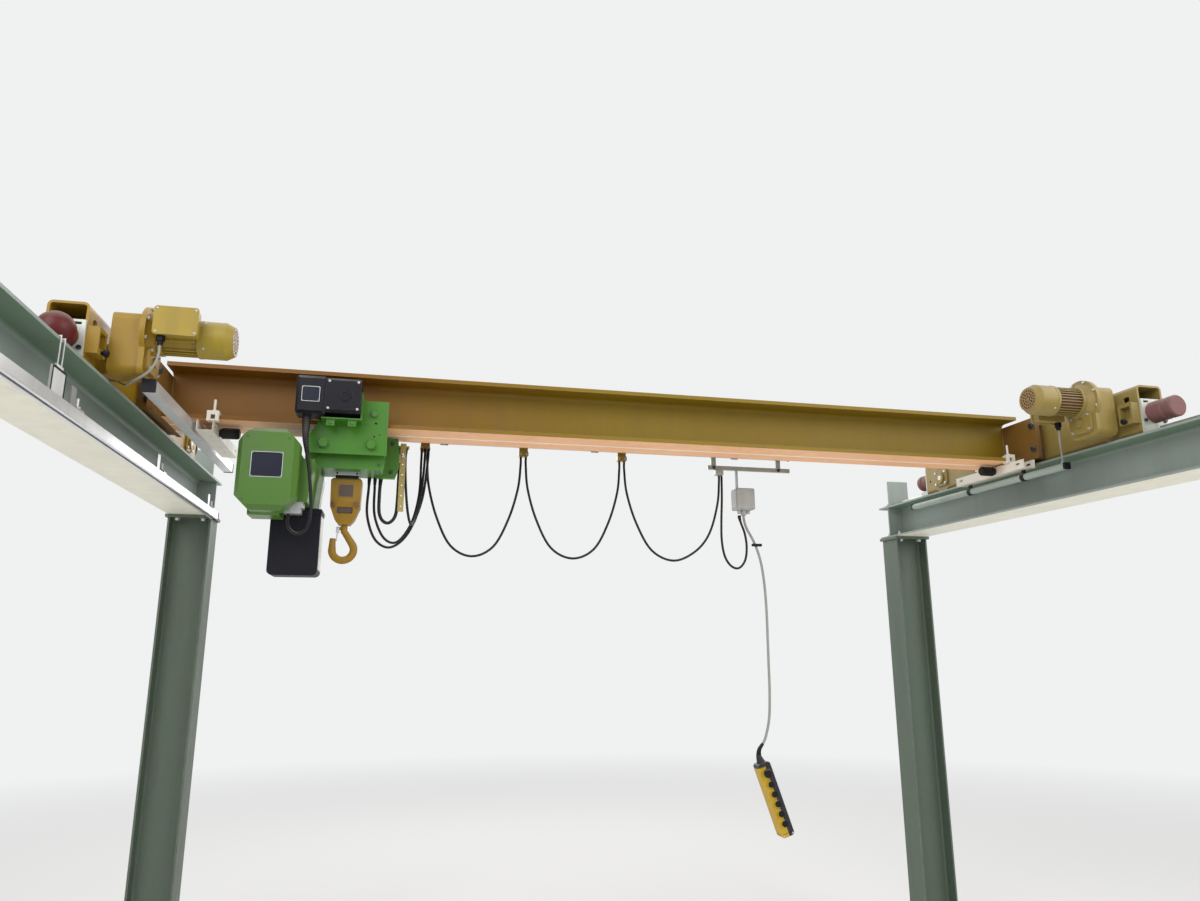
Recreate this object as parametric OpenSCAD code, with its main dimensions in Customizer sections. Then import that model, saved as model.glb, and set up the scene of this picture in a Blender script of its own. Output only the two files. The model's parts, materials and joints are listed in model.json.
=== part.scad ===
// Overhead bridge crane on its own runway frame.
// X runs along the bridge girder, Y along the runways, Z up. Millimetres.
// The origin is on the floor, at the middle of the four columns.

/* [Runway frame] */
// Distance between the centre lines of the two runways
span = 4000; // [3000:10:6000]
// Length of each runway beam
runway_len = 6000; // [4800:10:9000]
// Height of the runway underside above the floor
runway_underside = 2240; // [2100:10:4000]
// Depth of the runway section
runway_h = 190; // [160:1:260]
// Flange width of the runway section
runway_b = 200; // [160:1:260]
// Web thickness of the runway section
runway_web = 6.5; // [5:0.5:14]
// Flange thickness of the runway section
runway_flange = 10; // [8:0.5:20]
// Depth of the column section, across the runway
column_h = 200; // [140:1:260]
// Flange width of the column section, along the runway
column_b = 150; // [120:1:200]
// Web thickness of the column section
column_web = 6; // [5:0.5:14]
// Flange thickness of the column section
column_flange = 9; // [7:0.5:20]
// Distance from a runway end to the column centre line
column_inset = 91; // [80:1:400]
// Thickness of the plate on top of each column
cap_t = 15; // [8:1:30]
// Side of the square base plate
base_w = 300; // [260:5:400]
// Thickness of the base plate
base_t = 20; // [10:1:40]
// Diameter of the anchor bolt holes
anchor_d = 22; // [14:1:30]
// Distance between anchor bolt holes
anchor_pitch = 240; // [200:5:300]
// Width of the crane rail
rail_w = 40; // [30:1:50]
// Height of the crane rail
rail_h = 30; // [20:1:50]

/* [Bridge] */
// Distance from the far runway stops to the middle of the girder at rest
crane_park = 1135; // [880:5:4800]
// Depth of the girder section
girder_h = 220; // [180:1:260]
// Flange width of the girder section
girder_b = 220; // [200:1:240]
// Web thickness of the girder section
girder_web = 9.5; // [6:0.5:14]
// Flange thickness of the girder section
girder_flange = 16; // [10:0.5:20]
// Height of the girder underside above the runway top
girder_lift = 20; // [15:1:60]
// Length of an end carriage
carriage_len = 1480; // [1300:10:2000]
// Width of an end carriage
carriage_w = 120; // [110:1:150]
// Height of an end carriage
carriage_h = 203; // [180:1:240]
// Wall thickness of an end carriage
carriage_wall = 8; // [5:0.5:10]
// Clearance between an end carriage and the runway top
carriage_gap = 12; // [8:1:16]
// Distance between the two wheels of an end carriage
wheel_base = 1190; // [1000:10:1300]
// Tread diameter of a crane wheel
wheel_d = 100; // [90:1:120]
// Width of the girder end plate
end_plate_w = 460; // [400:5:520]
// Thickness of the girder end plate
end_plate_t = 20; // [10:1:30]
// Thickness of the connection block between end plate and carriage
connection_t = 45; // [30:1:60]

/* [Hoist trolley] */
// Resting place of the trolley along the girder
trolley_x = -1190; // [-1300:5:-1000]
// Length of a trolley side plate
side_plate_l = 300; // [280:1:330]
// Thickness of a trolley side plate
side_plate_t = 12; // [8:1:14]
// Gap between a flange edge and a side plate
side_plate_gap = 14; // [10:1:18]
// Diameter of a trolley wheel
trolley_wheel_d = 60; // [50:1:66]
// Width of the hoist body, along the girder
hoist_w = 210; // [180:1:230]
// Height of the hoist body
hoist_h = 300; // [270:1:310]
// Length of the hoist body, across the girder
hoist_l = 470; // [400:5:480]
// Width of the chain container
container_w = 180; // [150:1:200]
// Height of the chain container
container_h = 255; // [200:1:300]
// Depth of the chain container
container_t = 130; // [100:1:150]
// Diameter of the load chain's wire
chain_d = 7; // [6:0.5:8]

/* [Hook] */
// Height of the hook's lowest point above the floor
hook_z = 1917; // [1850:1:1925]
// Thickness of the hook's body
hook_t = 26; // [20:1:30]
// Depth of the hook's body, from the bowl outwards
hook_d = 30; // [26:1:34]
// Inner radius of the hook's bowl
hook_bowl_r = 26; // [22:1:28]
// Width of the hook block at its top
block_w = 120; // [110:1:130]
// Height of the hook block
block_h = 186; // [170:1:195]
// Thickness of the hook block
block_t = 68; // [56:1:80]

/* [Hidden] */
$fn = 48;

// Small overlap that makes joined shapes one solid, and cutters pass a face
eps = 1;
// Clearance between a piece and the seat that carries it
seat = 0.3;

// Place of the runway stops, and of the bridge that is parked short of them
stop_y = runway_len / 2 - 60;
crane_y = stop_y - crane_park;

// Heights that everything on the runway takes its place from
runway_top = runway_underside + runway_h;
rail_top = runway_top + rail_h;
girder_z = runway_top + girder_lift;
girder_top = girder_z + girder_h;
carriage_z = runway_top + carriage_gap;
carriage_top = carriage_z + carriage_h;
wheel_z = rail_top + seat + wheel_d / 2;
column_top = runway_underside - cap_t;

// Places across the span
rail_x = span / 2;
carriage_in = rail_x - carriage_w / 2;
block_in = carriage_in - connection_t;
plate_in = block_in - end_plate_t;
column_y = runway_len / 2 - column_inset;

// Colours as the real crane shows them
GREEN = [0.36, 0.48, 0.40];
STEEL = [0.62, 0.63, 0.62];
OCHRE = [0.72, 0.50, 0.08];
YELLOW = [0.83, 0.66, 0.16];
ORANGE = [0.70, 0.33, 0.12];
LIME = [0.24, 0.62, 0.16];
BLACK = [0.06, 0.06, 0.08];
RED = [0.45, 0.08, 0.08];
PALE = [0.80, 0.80, 0.76];

// Rectangle with round corners, drawn with true arcs
module round_rect(w, h, r) {
    square([w - 2 * r, h], center = true);
    square([w, h - 2 * r], center = true);
    for (sx = [-1, 1], sy = [-1, 1])
        translate([sx * (w / 2 - r), sy * (h / 2 - r)])
            circle(r);
}

// Rolled section with root fillets: flanges lie along X, the web along Y
module rolled_section(h, b, web, flange, root) {
    difference() {
        square([b, h], center = true);
        for (s = [-1, 1])
            translate([s * (web / 2 + b / 2), 0])
                square([b, h - 2 * flange], center = true);
    }
    for (sx = [-1, 1], sy = [-1, 1])
        difference() {
            translate([sx * (web / 2 + root / 2 - eps / 2), sy * (h / 2 - flange - root / 2 + eps / 2)])
                square(root + eps, center = true);
            translate([sx * (web / 2 + root), sy * (h / 2 - flange - root)])
                circle(root);
        }
}

// Stands a flat outline up in the XZ plane and gives it a thickness along Y
module along_y(length) {
    rotate([90, 0, 0])
        linear_extrude(length, center = true)
            children();
}

// Stands a flat outline up in the YZ plane and gives it a thickness along X
module along_x(length) {
    rotate([90, 0, 90])
        linear_extrude(length, center = true)
            children();
}

// Cylinder whose axis runs along X, centred
module rod_x(d, length) {
    rotate([0, 90, 0])
        cylinder(d = d, h = length, center = true);
}

// Cylinder whose axis runs along Y, centred
module rod_y(d, length) {
    rotate([90, 0, 0])
        cylinder(d = d, h = length, center = true);
}

// Puts its children on the left and, mirrored, on the right
module both_sides() {
    children();
    mirror([1, 0, 0])
        children();
}

// Sweeps a round tube of radius r along the points of a route
function unit(v) = v / norm(v);
function tangent(p, i) =
    i == 0 ? unit(p[1] - p[0])
    : i == len(p) - 1 ? unit(p[i] - p[i - 1])
    : unit(unit(p[i + 1] - p[i]) + unit(p[i] - p[i - 1]));
function side_of(t) = norm(cross(t, [0, 1, 0])) > 0.2 ? unit(cross(t, [0, 1, 0])) : unit(cross(t, [1, 0, 0]));
function ring(c, t, r, n) =
    let (a = side_of(t), b = cross(t, a))
    [for (k = [0 : n - 1]) c + r * cos(360 * k / n) * a + r * sin(360 * k / n) * b];
// One point of a smooth curve between p1 and p2, with p0 and p3 beyond them
function spline_point(p0, p1, p2, p3, t) =
    0.5 * (2 * p1 + (p2 - p0) * t + (2 * p0 - 5 * p1 + 4 * p2 - p3) * t * t
    + (3 * p1 - p0 - 3 * p2 + p3) * t * t * t);
function smooth(p, steps) =
    let (n = len(p))
    concat([for (i = [0 : n - 2], s = [0 : steps - 1])
        spline_point(p[max(i - 1, 0)], p[i], p[i + 1], p[min(i + 2, n - 1)], s / steps)],
        [p[n - 1]]);
module tube(route, d, steps = 2, sides = 8) {
    p = smooth(route, steps);
    n = len(p);
    rings = [for (i = [0 : n - 1]) ring(p[i], tangent(p, i), d / 2, sides)];
    points = [for (r = rings) each r];
    walls = [for (i = [0 : n - 2], k = [0 : sides - 1])
        let (a = i * sides + k, b = i * sides + (k + 1) % sides)
        each [[a, a + sides, b], [b, a + sides, b + sides]]];
    first = [for (k = [0 : sides - 1]) k];
    last = [for (k = [sides - 1 : -1 : 0]) (n - 1) * sides + k];
    polyhedron(points, concat([first, last], walls), convexity = 6);
}

// Runway frame

module column(sx, sy) {
    color(GREEN)
        translate([sx * rail_x, sy * column_y, 0]) {
            translate([0, 0, base_t - eps / 2])
                linear_extrude(column_top - base_t + eps)
                    rotate(90)
                        rolled_section(column_h, column_b, column_web, column_flange, 12);
            difference() {
                translate([0, 0, base_t / 2])
                    cube([base_w, base_w, base_t], center = true);
                for (ax = [-1, 1], ay = [-1, 1])
                    translate([ax * anchor_pitch / 2, ay * anchor_pitch / 2, base_t / 2])
                        cylinder(d = anchor_d, h = base_t + 2 * eps, center = true);
            }
            translate([0, 0, column_top + cap_t / 2])
                cube([runway_b + 20, 2 * column_inset - 2, cap_t], center = true);
            // Gussets between the base plate and the flanges
            for (sg = [-1, 1])
                translate([sg * (column_h / 2 - eps), 0, base_t])
                    along_y(gusset_t)
                        polygon([
                            [0, -eps], [sg * gusset_w, -eps], [sg * gusset_w, 20],
                            [sg * 14, gusset_h], [0, gusset_h]
                        ]);
        }
}
gusset_t = 8;
gusset_h = 110;
gusset_w = (base_w - column_h) / 2 - 6;
module columns_left() {
    column(-1, -1);
    column(-1, 1);
}
module columns_right() {
    column(1, -1);
    column(1, 1);
}

module runway(sx) {
    color(GREEN)
        translate([sx * rail_x, 0, runway_underside + runway_h / 2]) {
            along_y(runway_len)
                rolled_section(runway_h, runway_b, runway_web, runway_flange, 15);
            // Web stiffeners over each column
            for (sy = [-1, 1], sw = [-1, 1])
                translate([sw * (runway_b / 4 - 2), sy * column_y, 0])
                    cube([runway_b / 2 - 8, 8, runway_h - 2 * runway_flange + eps], center = true);
        }
}
module runway_left() { runway(-1); }
module runway_right() { runway(1); }

module crane_rails() {
    color(STEEL) both_sides()
        translate([rail_x, 0, runway_top + rail_h / 2])
            cube([rail_w, 2 * (stop_y - stop_in - 2), rail_h], center = true);
}

// Stop beyond each rail end: a gusseted plate standing on the runway
stop_t = 15;
stop_h = 160;
stop_w = 130;
// How far the stop's foot reaches in front of and behind its plate
stop_in = 30;
stop_out = 54;
module runway_stops() {
    color(GREEN)
        for (sx = [-1, 1], sy = [-1, 1])
            translate([sx * rail_x, sy * stop_y, runway_top]) {
                translate([0, 0, stop_h / 2])
                    cube([stop_w, stop_t, stop_h], center = true);
                translate([0, sy * (stop_out - stop_in) / 2, 6])
                    cube([stop_w, stop_in + stop_out, 12], center = true);
                for (x = [-34, 34])
                    translate([x, 0, 0])
                        rotate([90, 0, 90])
                            linear_extrude(10, center = true)
                                polygon([
                                    [0, 4], [sy * 52, 4], [sy * 52, 20],
                                    [sy * 14, stop_h - 12], [0, stop_h - 12]
                                ]);
            }
}

// Current supply rail along the inner side of the left runway
supply_w = 30;
supply_h = 34;
supply_x = -rail_x + runway_b / 2 + 6 + supply_w / 2;
supply_top = runway_underside + runway_flange;
supply_len = runway_len - 4 * column_inset - 16;
supply_wall = 3;
module supply_rail() {
    color(STEEL)
        translate([supply_x, 0, supply_top - supply_h / 2])
            along_y(supply_len)
                c_section(supply_w, supply_h, supply_wall, 10);
}
// Rail section that is open below for its carriers
module c_section(w, h, wall, mouth) {
    difference() {
        square([w, h], center = true);
        square([w - 2 * wall, h - 2 * wall], center = true);
        translate([0, -h / 2])
            square([mouth, 4 * wall], center = true);
    }
}

hanger_pitch = 900;
hanger_w = 36;
hanger_t = 6;
hanger_h = 74;
module supply_hangers() {
    color(BLACK)
        for (i = [-3 : 3])
            translate([0, i * hanger_pitch, supply_top]) {
                // Foot on the runway's bottom flange, running out over the rail
                translate([supply_x - 35, 0, hanger_t / 2])
                    cube([supply_w + 70, hanger_w, hanger_t], center = true);
                translate([supply_x - supply_w / 2, 0, hanger_h / 2])
                    cube([hanger_t, hanger_w, hanger_h], center = true);
                // Hook bolt with its nut
                translate([supply_x, 0, hanger_t + 4])
                    cylinder(d = 20, h = 10, center = true, $fn = 6);
                translate([supply_x, 0, hanger_t + 16])
                    cylinder(d = 10, h = 34, center = true);
            }
}

// Plate that hangs on two hooks from the left runway's top flange
hung_y = 790;
hung_w = 96;
hung_h = 80;
hung_t = 6;
// From the runway's top down to the plate
hung_drop = 88;
hung_z = runway_top - hung_drop - hung_h;
hook_rod_d = 4;
module hanging_plate() {
    x = -rail_x + runway_b / 2 + seat + hung_t / 2;
    color(PALE)
        translate([x, hung_y, 0]) {
            translate([0, 0, hung_z + hung_h / 2])
                along_x(hung_t)
                    round_rect(hung_w, hung_h, 6);
            translate([0, 0, hung_z + hung_h + 4])
                cube([hung_t, hung_w / 2, 10], center = true);
            for (y = [-14, 14]) {
                translate([0, y, hung_z + hung_h + 4])
                    cylinder(d = hook_rod_d, h = runway_top + seat + hook_rod_d - hung_z - hung_h - 4);
                translate([-12, y, runway_top + seat + hook_rod_d / 2 - 0.2])
                    rod_x(hook_rod_d - 0.4, 24);
            }
        }
}

// Bridge

module on_bridge() {
    translate([0, crane_y, 0])
        children();
}

module girder() {
    color(OCHRE) on_bridge()
        translate([0, 0, girder_z + girder_h / 2])
            along_x(2 * plate_in)
                rolled_section(girder_h, girder_b, girder_web, girder_flange, 18);
}

plate_bolt_y = 207;
plate_bolt_z = [50, 160];
bolt_hole_d = 18;
connection_w = end_plate_w - 70;
module girder_end_plates() {
    color(ORANGE) on_bridge() both_sides()
        translate([plate_in + end_plate_t / 2, 0, carriage_z + carriage_h / 2])
            difference() {
                union() {
                    along_x(end_plate_t)
                        round_rect(end_plate_w, carriage_h - 10, 12);
                    // Bracket on the carriage that the plate is bolted to
                    translate([end_plate_t / 2 + connection_t / 2 - eps / 2, 0, 0])
                        cube([connection_t + eps, connection_w, carriage_h - 14], center = true);
                }
                for (sy = [-1, 1], z = plate_bolt_z)
                    translate([0, sy * plate_bolt_y, z - carriage_h / 2])
                        rod_x(bolt_hole_d, end_plate_t + 2 * eps);
            }
}

rail_slot = rail_w + 44;
bulge_d = 2 * (wheel_z - runway_top - 4);
bracket_len = 70;
bracket_h = 86;
bracket_out = 36;
module end_carriages() {
    color(YELLOW) on_bridge() both_sides()
        translate([rail_x, 0, carriage_z + carriage_h / 2]) {
            difference() {
                union() {
                    along_y(carriage_len)
                        difference() {
                            inner_h = carriage_h - 2 * carriage_wall;
                            round_rect(carriage_w, carriage_h, 18);
                            round_rect(carriage_w - 2 * carriage_wall, inner_h, 10);
                            translate([0, -carriage_h / 2])
                                square([rail_slot, 4 * carriage_wall], center = true);
                        }
                    // Round cheeks over the wheels, which reach below the box
                    for (sy = [-1, 1], sw = [-1, 1])
                        translate([
                            sw * (carriage_w - carriage_wall) / 2, sy * wheel_base / 2, wheel_mid
                        ])
                            rod_x(bulge_d, carriage_wall);
                }
                // Bores for the wheel axles
                for (sy = [-1, 1])
                    translate([0, sy * wheel_base / 2, wheel_mid])
                        rod_x(axle_d + 2 * seat, carriage_w + 2 * eps);
                // Slotted and round holes beside each buffer, in the inner wall
                for (sy = [-1, 1]) {
                    translate([-carriage_w / 2, sy * (carriage_len / 2 - 58), 52])
                        along_x(4 * carriage_wall)
                            round_rect(34, 22, 10.9);
                    translate([-carriage_w / 2, sy * (carriage_len / 2 - 34), -34])
                        rod_x(14, 4 * carriage_wall);
                }
            }
            // Bracket with a window that keeps the gear case from turning
            translate([
                -carriage_w / 2 - bracket_out / 2 + eps / 2,
                drive_y - gear_w / 2 - bracket_len / 2 - 9, -18
            ])
                difference() {
                    cube([bracket_out + eps, bracket_len, bracket_h], center = true);
                    translate([-6, 0, 4])
                        cube([bracket_out, bracket_len - 20, bracket_h - 34], center = true);
                }
        }
}
axle_d = 30;
// Height of the wheel's axle above the middle of the carriage
wheel_mid = wheel_z - carriage_z - carriage_h / 2;

wheel_flange = 10;
tread_w = rail_w + 6;
module crane_wheels() {
    color(STEEL) on_bridge()
        for (sx = [-1, 1], sy = [-1, 1])
            translate([sx * rail_x, sy * wheel_base / 2, wheel_z]) {
                rod_x(wheel_d, tread_w + 2);
                for (sw = [-1, 1])
                    translate([sw * (tread_w / 2 + 4), 0, 0])
                        rod_x(wheel_d + 2 * wheel_flange, 8);
                rod_x(axle_d, carriage_w + 14);
            }
}

hub_plate_w = 110;
hub_plate_h = 90;
hub_plate_t = 8;
module wheel_hubs() {
    color(YELLOW) on_bridge()
        for (sx = [-1, 1], sy = [-1, 1], sw = [-1, 1])
            translate([sx * rail_x + sw * (carriage_w / 2 + 4), sy * wheel_base / 2, wheel_z])
                if (sy == 1 || sw * sx == 1)
                    difference() {
                        union() {
                            along_x(hub_plate_t)
                                round_rect(hub_plate_w, hub_plate_h, 20);
                            translate([sw * 8, 0, 0])
                                rod_x(62, 14);
                        }
                        rod_x(axle_d + 2 * seat, 60);
                    }
}

buffer_z = carriage_z + 85;
buffer_plate_t = 10;
buffer_plate_h = 142;
sweeper_len = 64;
module buffer_plates() {
    color(PALE) on_bridge()
        for (sx = [-1, 1], sy = [-1, 1])
            translate([
                sx * rail_x, sy * (carriage_len + buffer_plate_t) / 2, carriage_z + buffer_plate_h / 2
            ]) {
                difference() {
                    cube([carriage_w - 4, buffer_plate_t, buffer_plate_h], center = true);
                    // Way for the rail
                    translate([0, 0, -buffer_plate_h / 2])
                        cube([rail_slot, buffer_plate_t + 2 * eps, 46], center = true);
                    for (x = [-34, 34])
                        translate([x, 0, buffer_plate_h / 2 - 12])
                            along_y(buffer_plate_t + 2 * eps)
                                round_rect(26, 9, 4.4);
                    for (x = [-48, 48])
                        translate([x, 0, -20])
                            rod_y(10, buffer_plate_t + 2 * eps);
                }
                // Bars under the buffer that push loose things off the rail
                for (sw = [-1, 1])
                    translate([sw * (rail_slot / 2 + 7), sy * (sweeper_len / 2), 12 - buffer_plate_h / 2])
                        cube([8, sweeper_len + eps, 20], center = true);
            }
}

buffer_y = carriage_len / 2 + buffer_plate_t;
dome_r = 55;
stem_r = 43;
stem_len = 46;
dome_mid = 57;
module buffers_left() {
    color(RED) on_bridge()
        for (sy = [-1, 1])
            translate([-rail_x, sy * buffer_y, buffer_z])
                rotate([sy * -90, 0, 0])
                    rotate_extrude() {
                        square([stem_r, stem_len + eps]);
                        // Ball-shaped end
                        intersection() {
                            translate([0, dome_mid])
                                circle(dome_r);
                            translate([0, stem_len])
                                square(2 * dome_r);
                        }
                    }
}

buffer_d = 88;
buffer_len = 112;
module buffers_right() {
    color(RED) on_bridge()
        for (sy = [-1, 1])
            translate([rail_x, sy * buffer_y, buffer_z])
                rotate([sy * -90, 0, 0])
                    rotate_extrude()
                        polygon([
                            [0, 0], [buffer_d / 2, 0], [buffer_d / 2, 62], [buffer_d / 2 - 5, 68],
                            [buffer_d / 2 - 5, 76], [buffer_d / 2, 82], [buffer_d / 2, buffer_len - 5],
                            [buffer_d / 2 - 5, buffer_len], [0, buffer_len]
                        ]);
}

motor_axis_z = carriage_z + 155;
// Hub between the carriage and the gear case
hub_len = 40;
hub_d = 96;
gear_t = 90;
gear_w = 130;
gear_foot = 61;
gear_h = motor_axis_z - wheel_z + 2 * gear_foot;
gear_top_d = 130;
// Bolted cover of the gear case, which carries the motor
cover_out = 16;
cover_d = 190;
bell_len = 26;
lower_cover_t = 14;
drive_y = -wheel_base / 2;
module gear_cases() {
    color(YELLOW) on_bridge() both_sides()
        translate([carriage_in, drive_y, 0])
            difference() {
                union() {
                    translate([-hub_len / 2, 0, wheel_z])
                        rod_x(hub_d, hub_len);
                    translate([-hub_len - gear_t / 2 + eps / 2, 0, (wheel_z + motor_axis_z) / 2])
                        along_x(gear_t + eps)
                            gear_outline(gear_w, gear_h, gear_top_d);
                    translate([
                        -hub_len - gear_t - cover_out / 2 + eps / 2, 0, (wheel_z + motor_axis_z) / 2
                    ])
                        along_x(cover_out + eps)
                            gear_outline(gear_w + 16, gear_h + 8, cover_d);
                    // Bell that carries the motor
                    translate([-hub_len - gear_t - cover_out + eps, 0, motor_axis_z])
                        rotate([0, -90, 0])
                            cylinder(d1 = cover_d - 26, d2 = motor_d + 10, h = bell_len + eps);
                    // Lower cover with the cap over the output bearing
                    translate([
                        -hub_len - gear_t - cover_out - lower_cover_t / 2 + eps, 0, wheel_z - 4
                    ])
                        along_x(lower_cover_t + eps)
                            round_rect(112, 84, 16);
                    translate([-hub_len - gear_t - cover_out - lower_cover_t, 0, wheel_z - 4])
                        rod_x(34, 16);
                }
                // Hollow of the output shaft, which takes the axle's end
                translate([0, 0, wheel_z])
                    rod_x(axle_d + 8, 34);
            }
}
// Upright outline of the gear case: square at the foot, round at the motor
module gear_outline(w, h, top_d) {
    translate([0, (motor_axis_z - wheel_z) / 2])
        circle(d = top_d);
    round_rect(w, h, 26);
}

motor_out = hub_len + gear_t + cover_out + bell_len;
motor_len = 132;
motor_d = 104;
rib_h = 8;
shield_t = 12;
shield_d = 128;
module travel_motors() {
    pad_in = motor_d / 2 - 12;
    pad_out = motor_d / 2 + rib_h + 5 - seat;
    color(YELLOW) on_bridge()
        for (sx = [-1, 1])
            translate([sx * (carriage_in - motor_out - motor_len / 2), drive_y, motor_axis_z]) {
                rod_x(motor_d, motor_len);
                // End shields
                for (x = [-1, 1])
                    translate([x * (motor_len - shield_t) / 2, 0, 0])
                        rod_x(shield_d, shield_t);
                // Cooling ribs, all round but for the side of the terminal box
                for (a = [60 : 12 : 300])
                    rotate([sx * 90 + a, 0, 0])
                        translate([0, 0, -motor_d / 2])
                            cube([motor_len - 2 * shield_t + 2 * eps, 3, 2 * rib_h], center = true);
                translate([0, sx * (pad_in + pad_out) / 2, 0])
                    cube([box_w - 30, pad_out - pad_in, 62], center = true);
            }
}

cowl_d = 126;
cowl_len = 98;
cowl_t = 3;
grille_hole = 8;
module fan_cowls() {
    color(YELLOW) on_bridge() both_sides()
        translate([carriage_in - motor_out - motor_len, drive_y, motor_axis_z])
            rotate([0, -90, 0])
                difference() {
                    rotate_extrude()
                        difference() {
                            cowl_profile(0);
                            translate([0, -eps])
                                cowl_profile(cowl_t);
                        }
                    // Rings of air holes in the end
                    for (ring = [1 : 3], k = [0 : 6 * ring - 1])
                        rotate([0, 0, 360 * k / (6 * ring)])
                            translate([ring * 12, 0, cowl_len - cowl_t / 2])
                                cylinder(d = grille_hole, h = cowl_t + 2 * eps, center = true);
                }
}
// Half of the cowl's section, k inside its outer face
module cowl_profile(k) {
    polygon([
        [0, 0], [cowl_d / 2 - k, 0], [cowl_d / 2 - k, cowl_len - 26 - k / 2],
        [cowl_d / 2 - 14 - k / 2, cowl_len - k], [0, cowl_len - k]
    ]);
}

box_w = 134;
box_t = 50;
box_h = 96;
gland_d = 22;
module terminal_boxes() {
    color(YELLOW) on_bridge()
        for (sx = [-1, 1])
            translate([sx * (carriage_in - motor_out - motor_len / 2),
                drive_y + sx * (motor_d / 2 + rib_h + box_t / 2), motor_axis_z - sx * 22]) {
                along_y(box_t - 10)
                    round_rect(box_w - 6, box_h - 6, 8);
                translate([0, sx * (box_t - 10) / 2, 0])
                    along_y(10)
                        round_rect(box_w, box_h, 10);
            }
}

// Cable glands under the two terminal boxes
module drive_glands() {
    color(BLACK) on_bridge()
        for (sx = [-1, 1])
            translate([sx * (carriage_in - motor_out - motor_len / 2 + box_w / 2 - 22),
                drive_y + sx * (motor_d / 2 + rib_h + box_t / 2), motor_axis_z - sx * 22 - box_h / 2]) {
                translate([0, 0, -16])
                    cylinder(d = gland_d + 6, h = 19 - seat, $fn = 6);
                translate([0, 0, -19])
                    cylinder(d = gland_d - 4, h = 20, center = true);
            }
}

// Cables of the two travel drives: down from the gland, then to the carriage or the conduit
drive_cable_d = 8;
drive_route_left = [
    [-1747, -680, 2541.7], [-1747, -680, 2515], [-1754, -678, 2482], [-1776, -668, 2452], [-1812, -645, 2434],
    [-1848, -600, 2430], [-1872, -555, 2438], [-1893, -520, 2453], [-1916, -497, 2466], [-1939.7, -490, 2470]
];
module drive_cable_left() {
    color(PALE) on_bridge()
        tube(drive_route_left, drive_cable_d, 2);
}
drive_route_right = [
    [1747, -510, 2497.7], [1747, -510, 2482], [1752, -504, 2463], [1768, -486, 2449], [1797, -454, 2443],
    [1826, -423, 2438], [1843, -404, 2422], [1850, -396, 2404], [1850, -396, 2388.8]
];
module drive_cable_right() {
    color(PALE) on_bridge()
        tube(drive_route_right, drive_cable_d, 2);
}

// Cable duct under the left end of the girder
duct_w = 40;
duct_out = 95;
duct_len = 1320;
duct_shift = 40;
duct_drop = 10;
module cable_duct_left() {
    color(PALE) on_bridge() {
        translate([-(plate_in - duct_out), duct_shift, girder_z - duct_drop - duct_w / 2])
            along_y(duct_len)
                difference() {
                    square(duct_w, center = true);
                    square(duct_w - 6, center = true);
                }
        // Saddles between the duct and the girder's underside
        for (sy = [-1, 1])
            translate([
                -(plate_in - duct_out), sy * (girder_b / 2 - 30), girder_z - (duct_drop + seat) / 2
            ])
                cube([duct_w + 8, 26, duct_drop - seat], center = true);
    }
}

// Slotted strut under the girder near each end, with its rubber stop
strut_x = [-1715, 1840];
strut_y = [125, 45];
strut_w = 60;
strut_h = 41;
strut_len = 500;
strut_t = 3;
strut_drop = 8;
strut_top = girder_z - strut_drop;
strut_low = strut_top - strut_h;
strut_slot = 26;

// Conduit under the right end of the girder
conduit_d = 31;
conduit_x = 1850;
// How far its top hangs below the strut
conduit_drop = 18.5;
conduit_z = girder_z - strut_drop - strut_h - conduit_drop - conduit_d / 2;
conduit_y = [-410, 740];
conduit_clip_y = [-150, 240];
module conduit_right() {
    color(PALE) on_bridge() {
        translate([conduit_x, (conduit_y[0] + conduit_y[1]) / 2, conduit_z])
            rod_y(conduit_d, conduit_y[1] - conduit_y[0]);
        // Grommet where the drive's cable goes in
        translate([conduit_x, conduit_y[0] + 14, conduit_z + conduit_d / 2 - 2])
            cylinder(d = 18, h = 8);
    }
}

// Caps of the duct and the conduit, and the clips that hang the conduit from the strut
duct_cap_t = 14;
clip_t = 3;
module duct_fittings() {
    hang = strut_low - seat - conduit_z - conduit_d / 2 - clip_t + eps;
    color(BLACK) on_bridge() {
        for (sy = [-1, 1])
            translate([
                -(plate_in - duct_out), duct_shift + sy * (duct_len + duct_cap_t) / 2,
                girder_z - duct_drop - duct_w / 2
            ])
                along_y(duct_cap_t)
                    round_rect(duct_w + 2, duct_w + 2, 4);
        for (y = conduit_clip_y)
            translate([conduit_x, y, 0]) {
                translate([0, 0, conduit_z])
                    along_y(22)
                        difference() {
                            circle(d = conduit_d + 2 * seat + 2 * clip_t);
                            circle(d = conduit_d + 2 * seat);
                        }
                translate([0, 0, strut_low - seat - hang / 2])
                    cube([clip_t + 3, 22, hang], center = true);
            }
        for (i = [0, 1])
            translate([conduit_x, conduit_y[i] + (2 * i - 1) * duct_cap_t / 2, conduit_z])
                cube([conduit_d - 2, duct_cap_t, conduit_d - 2], center = true);
    }
}

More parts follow.
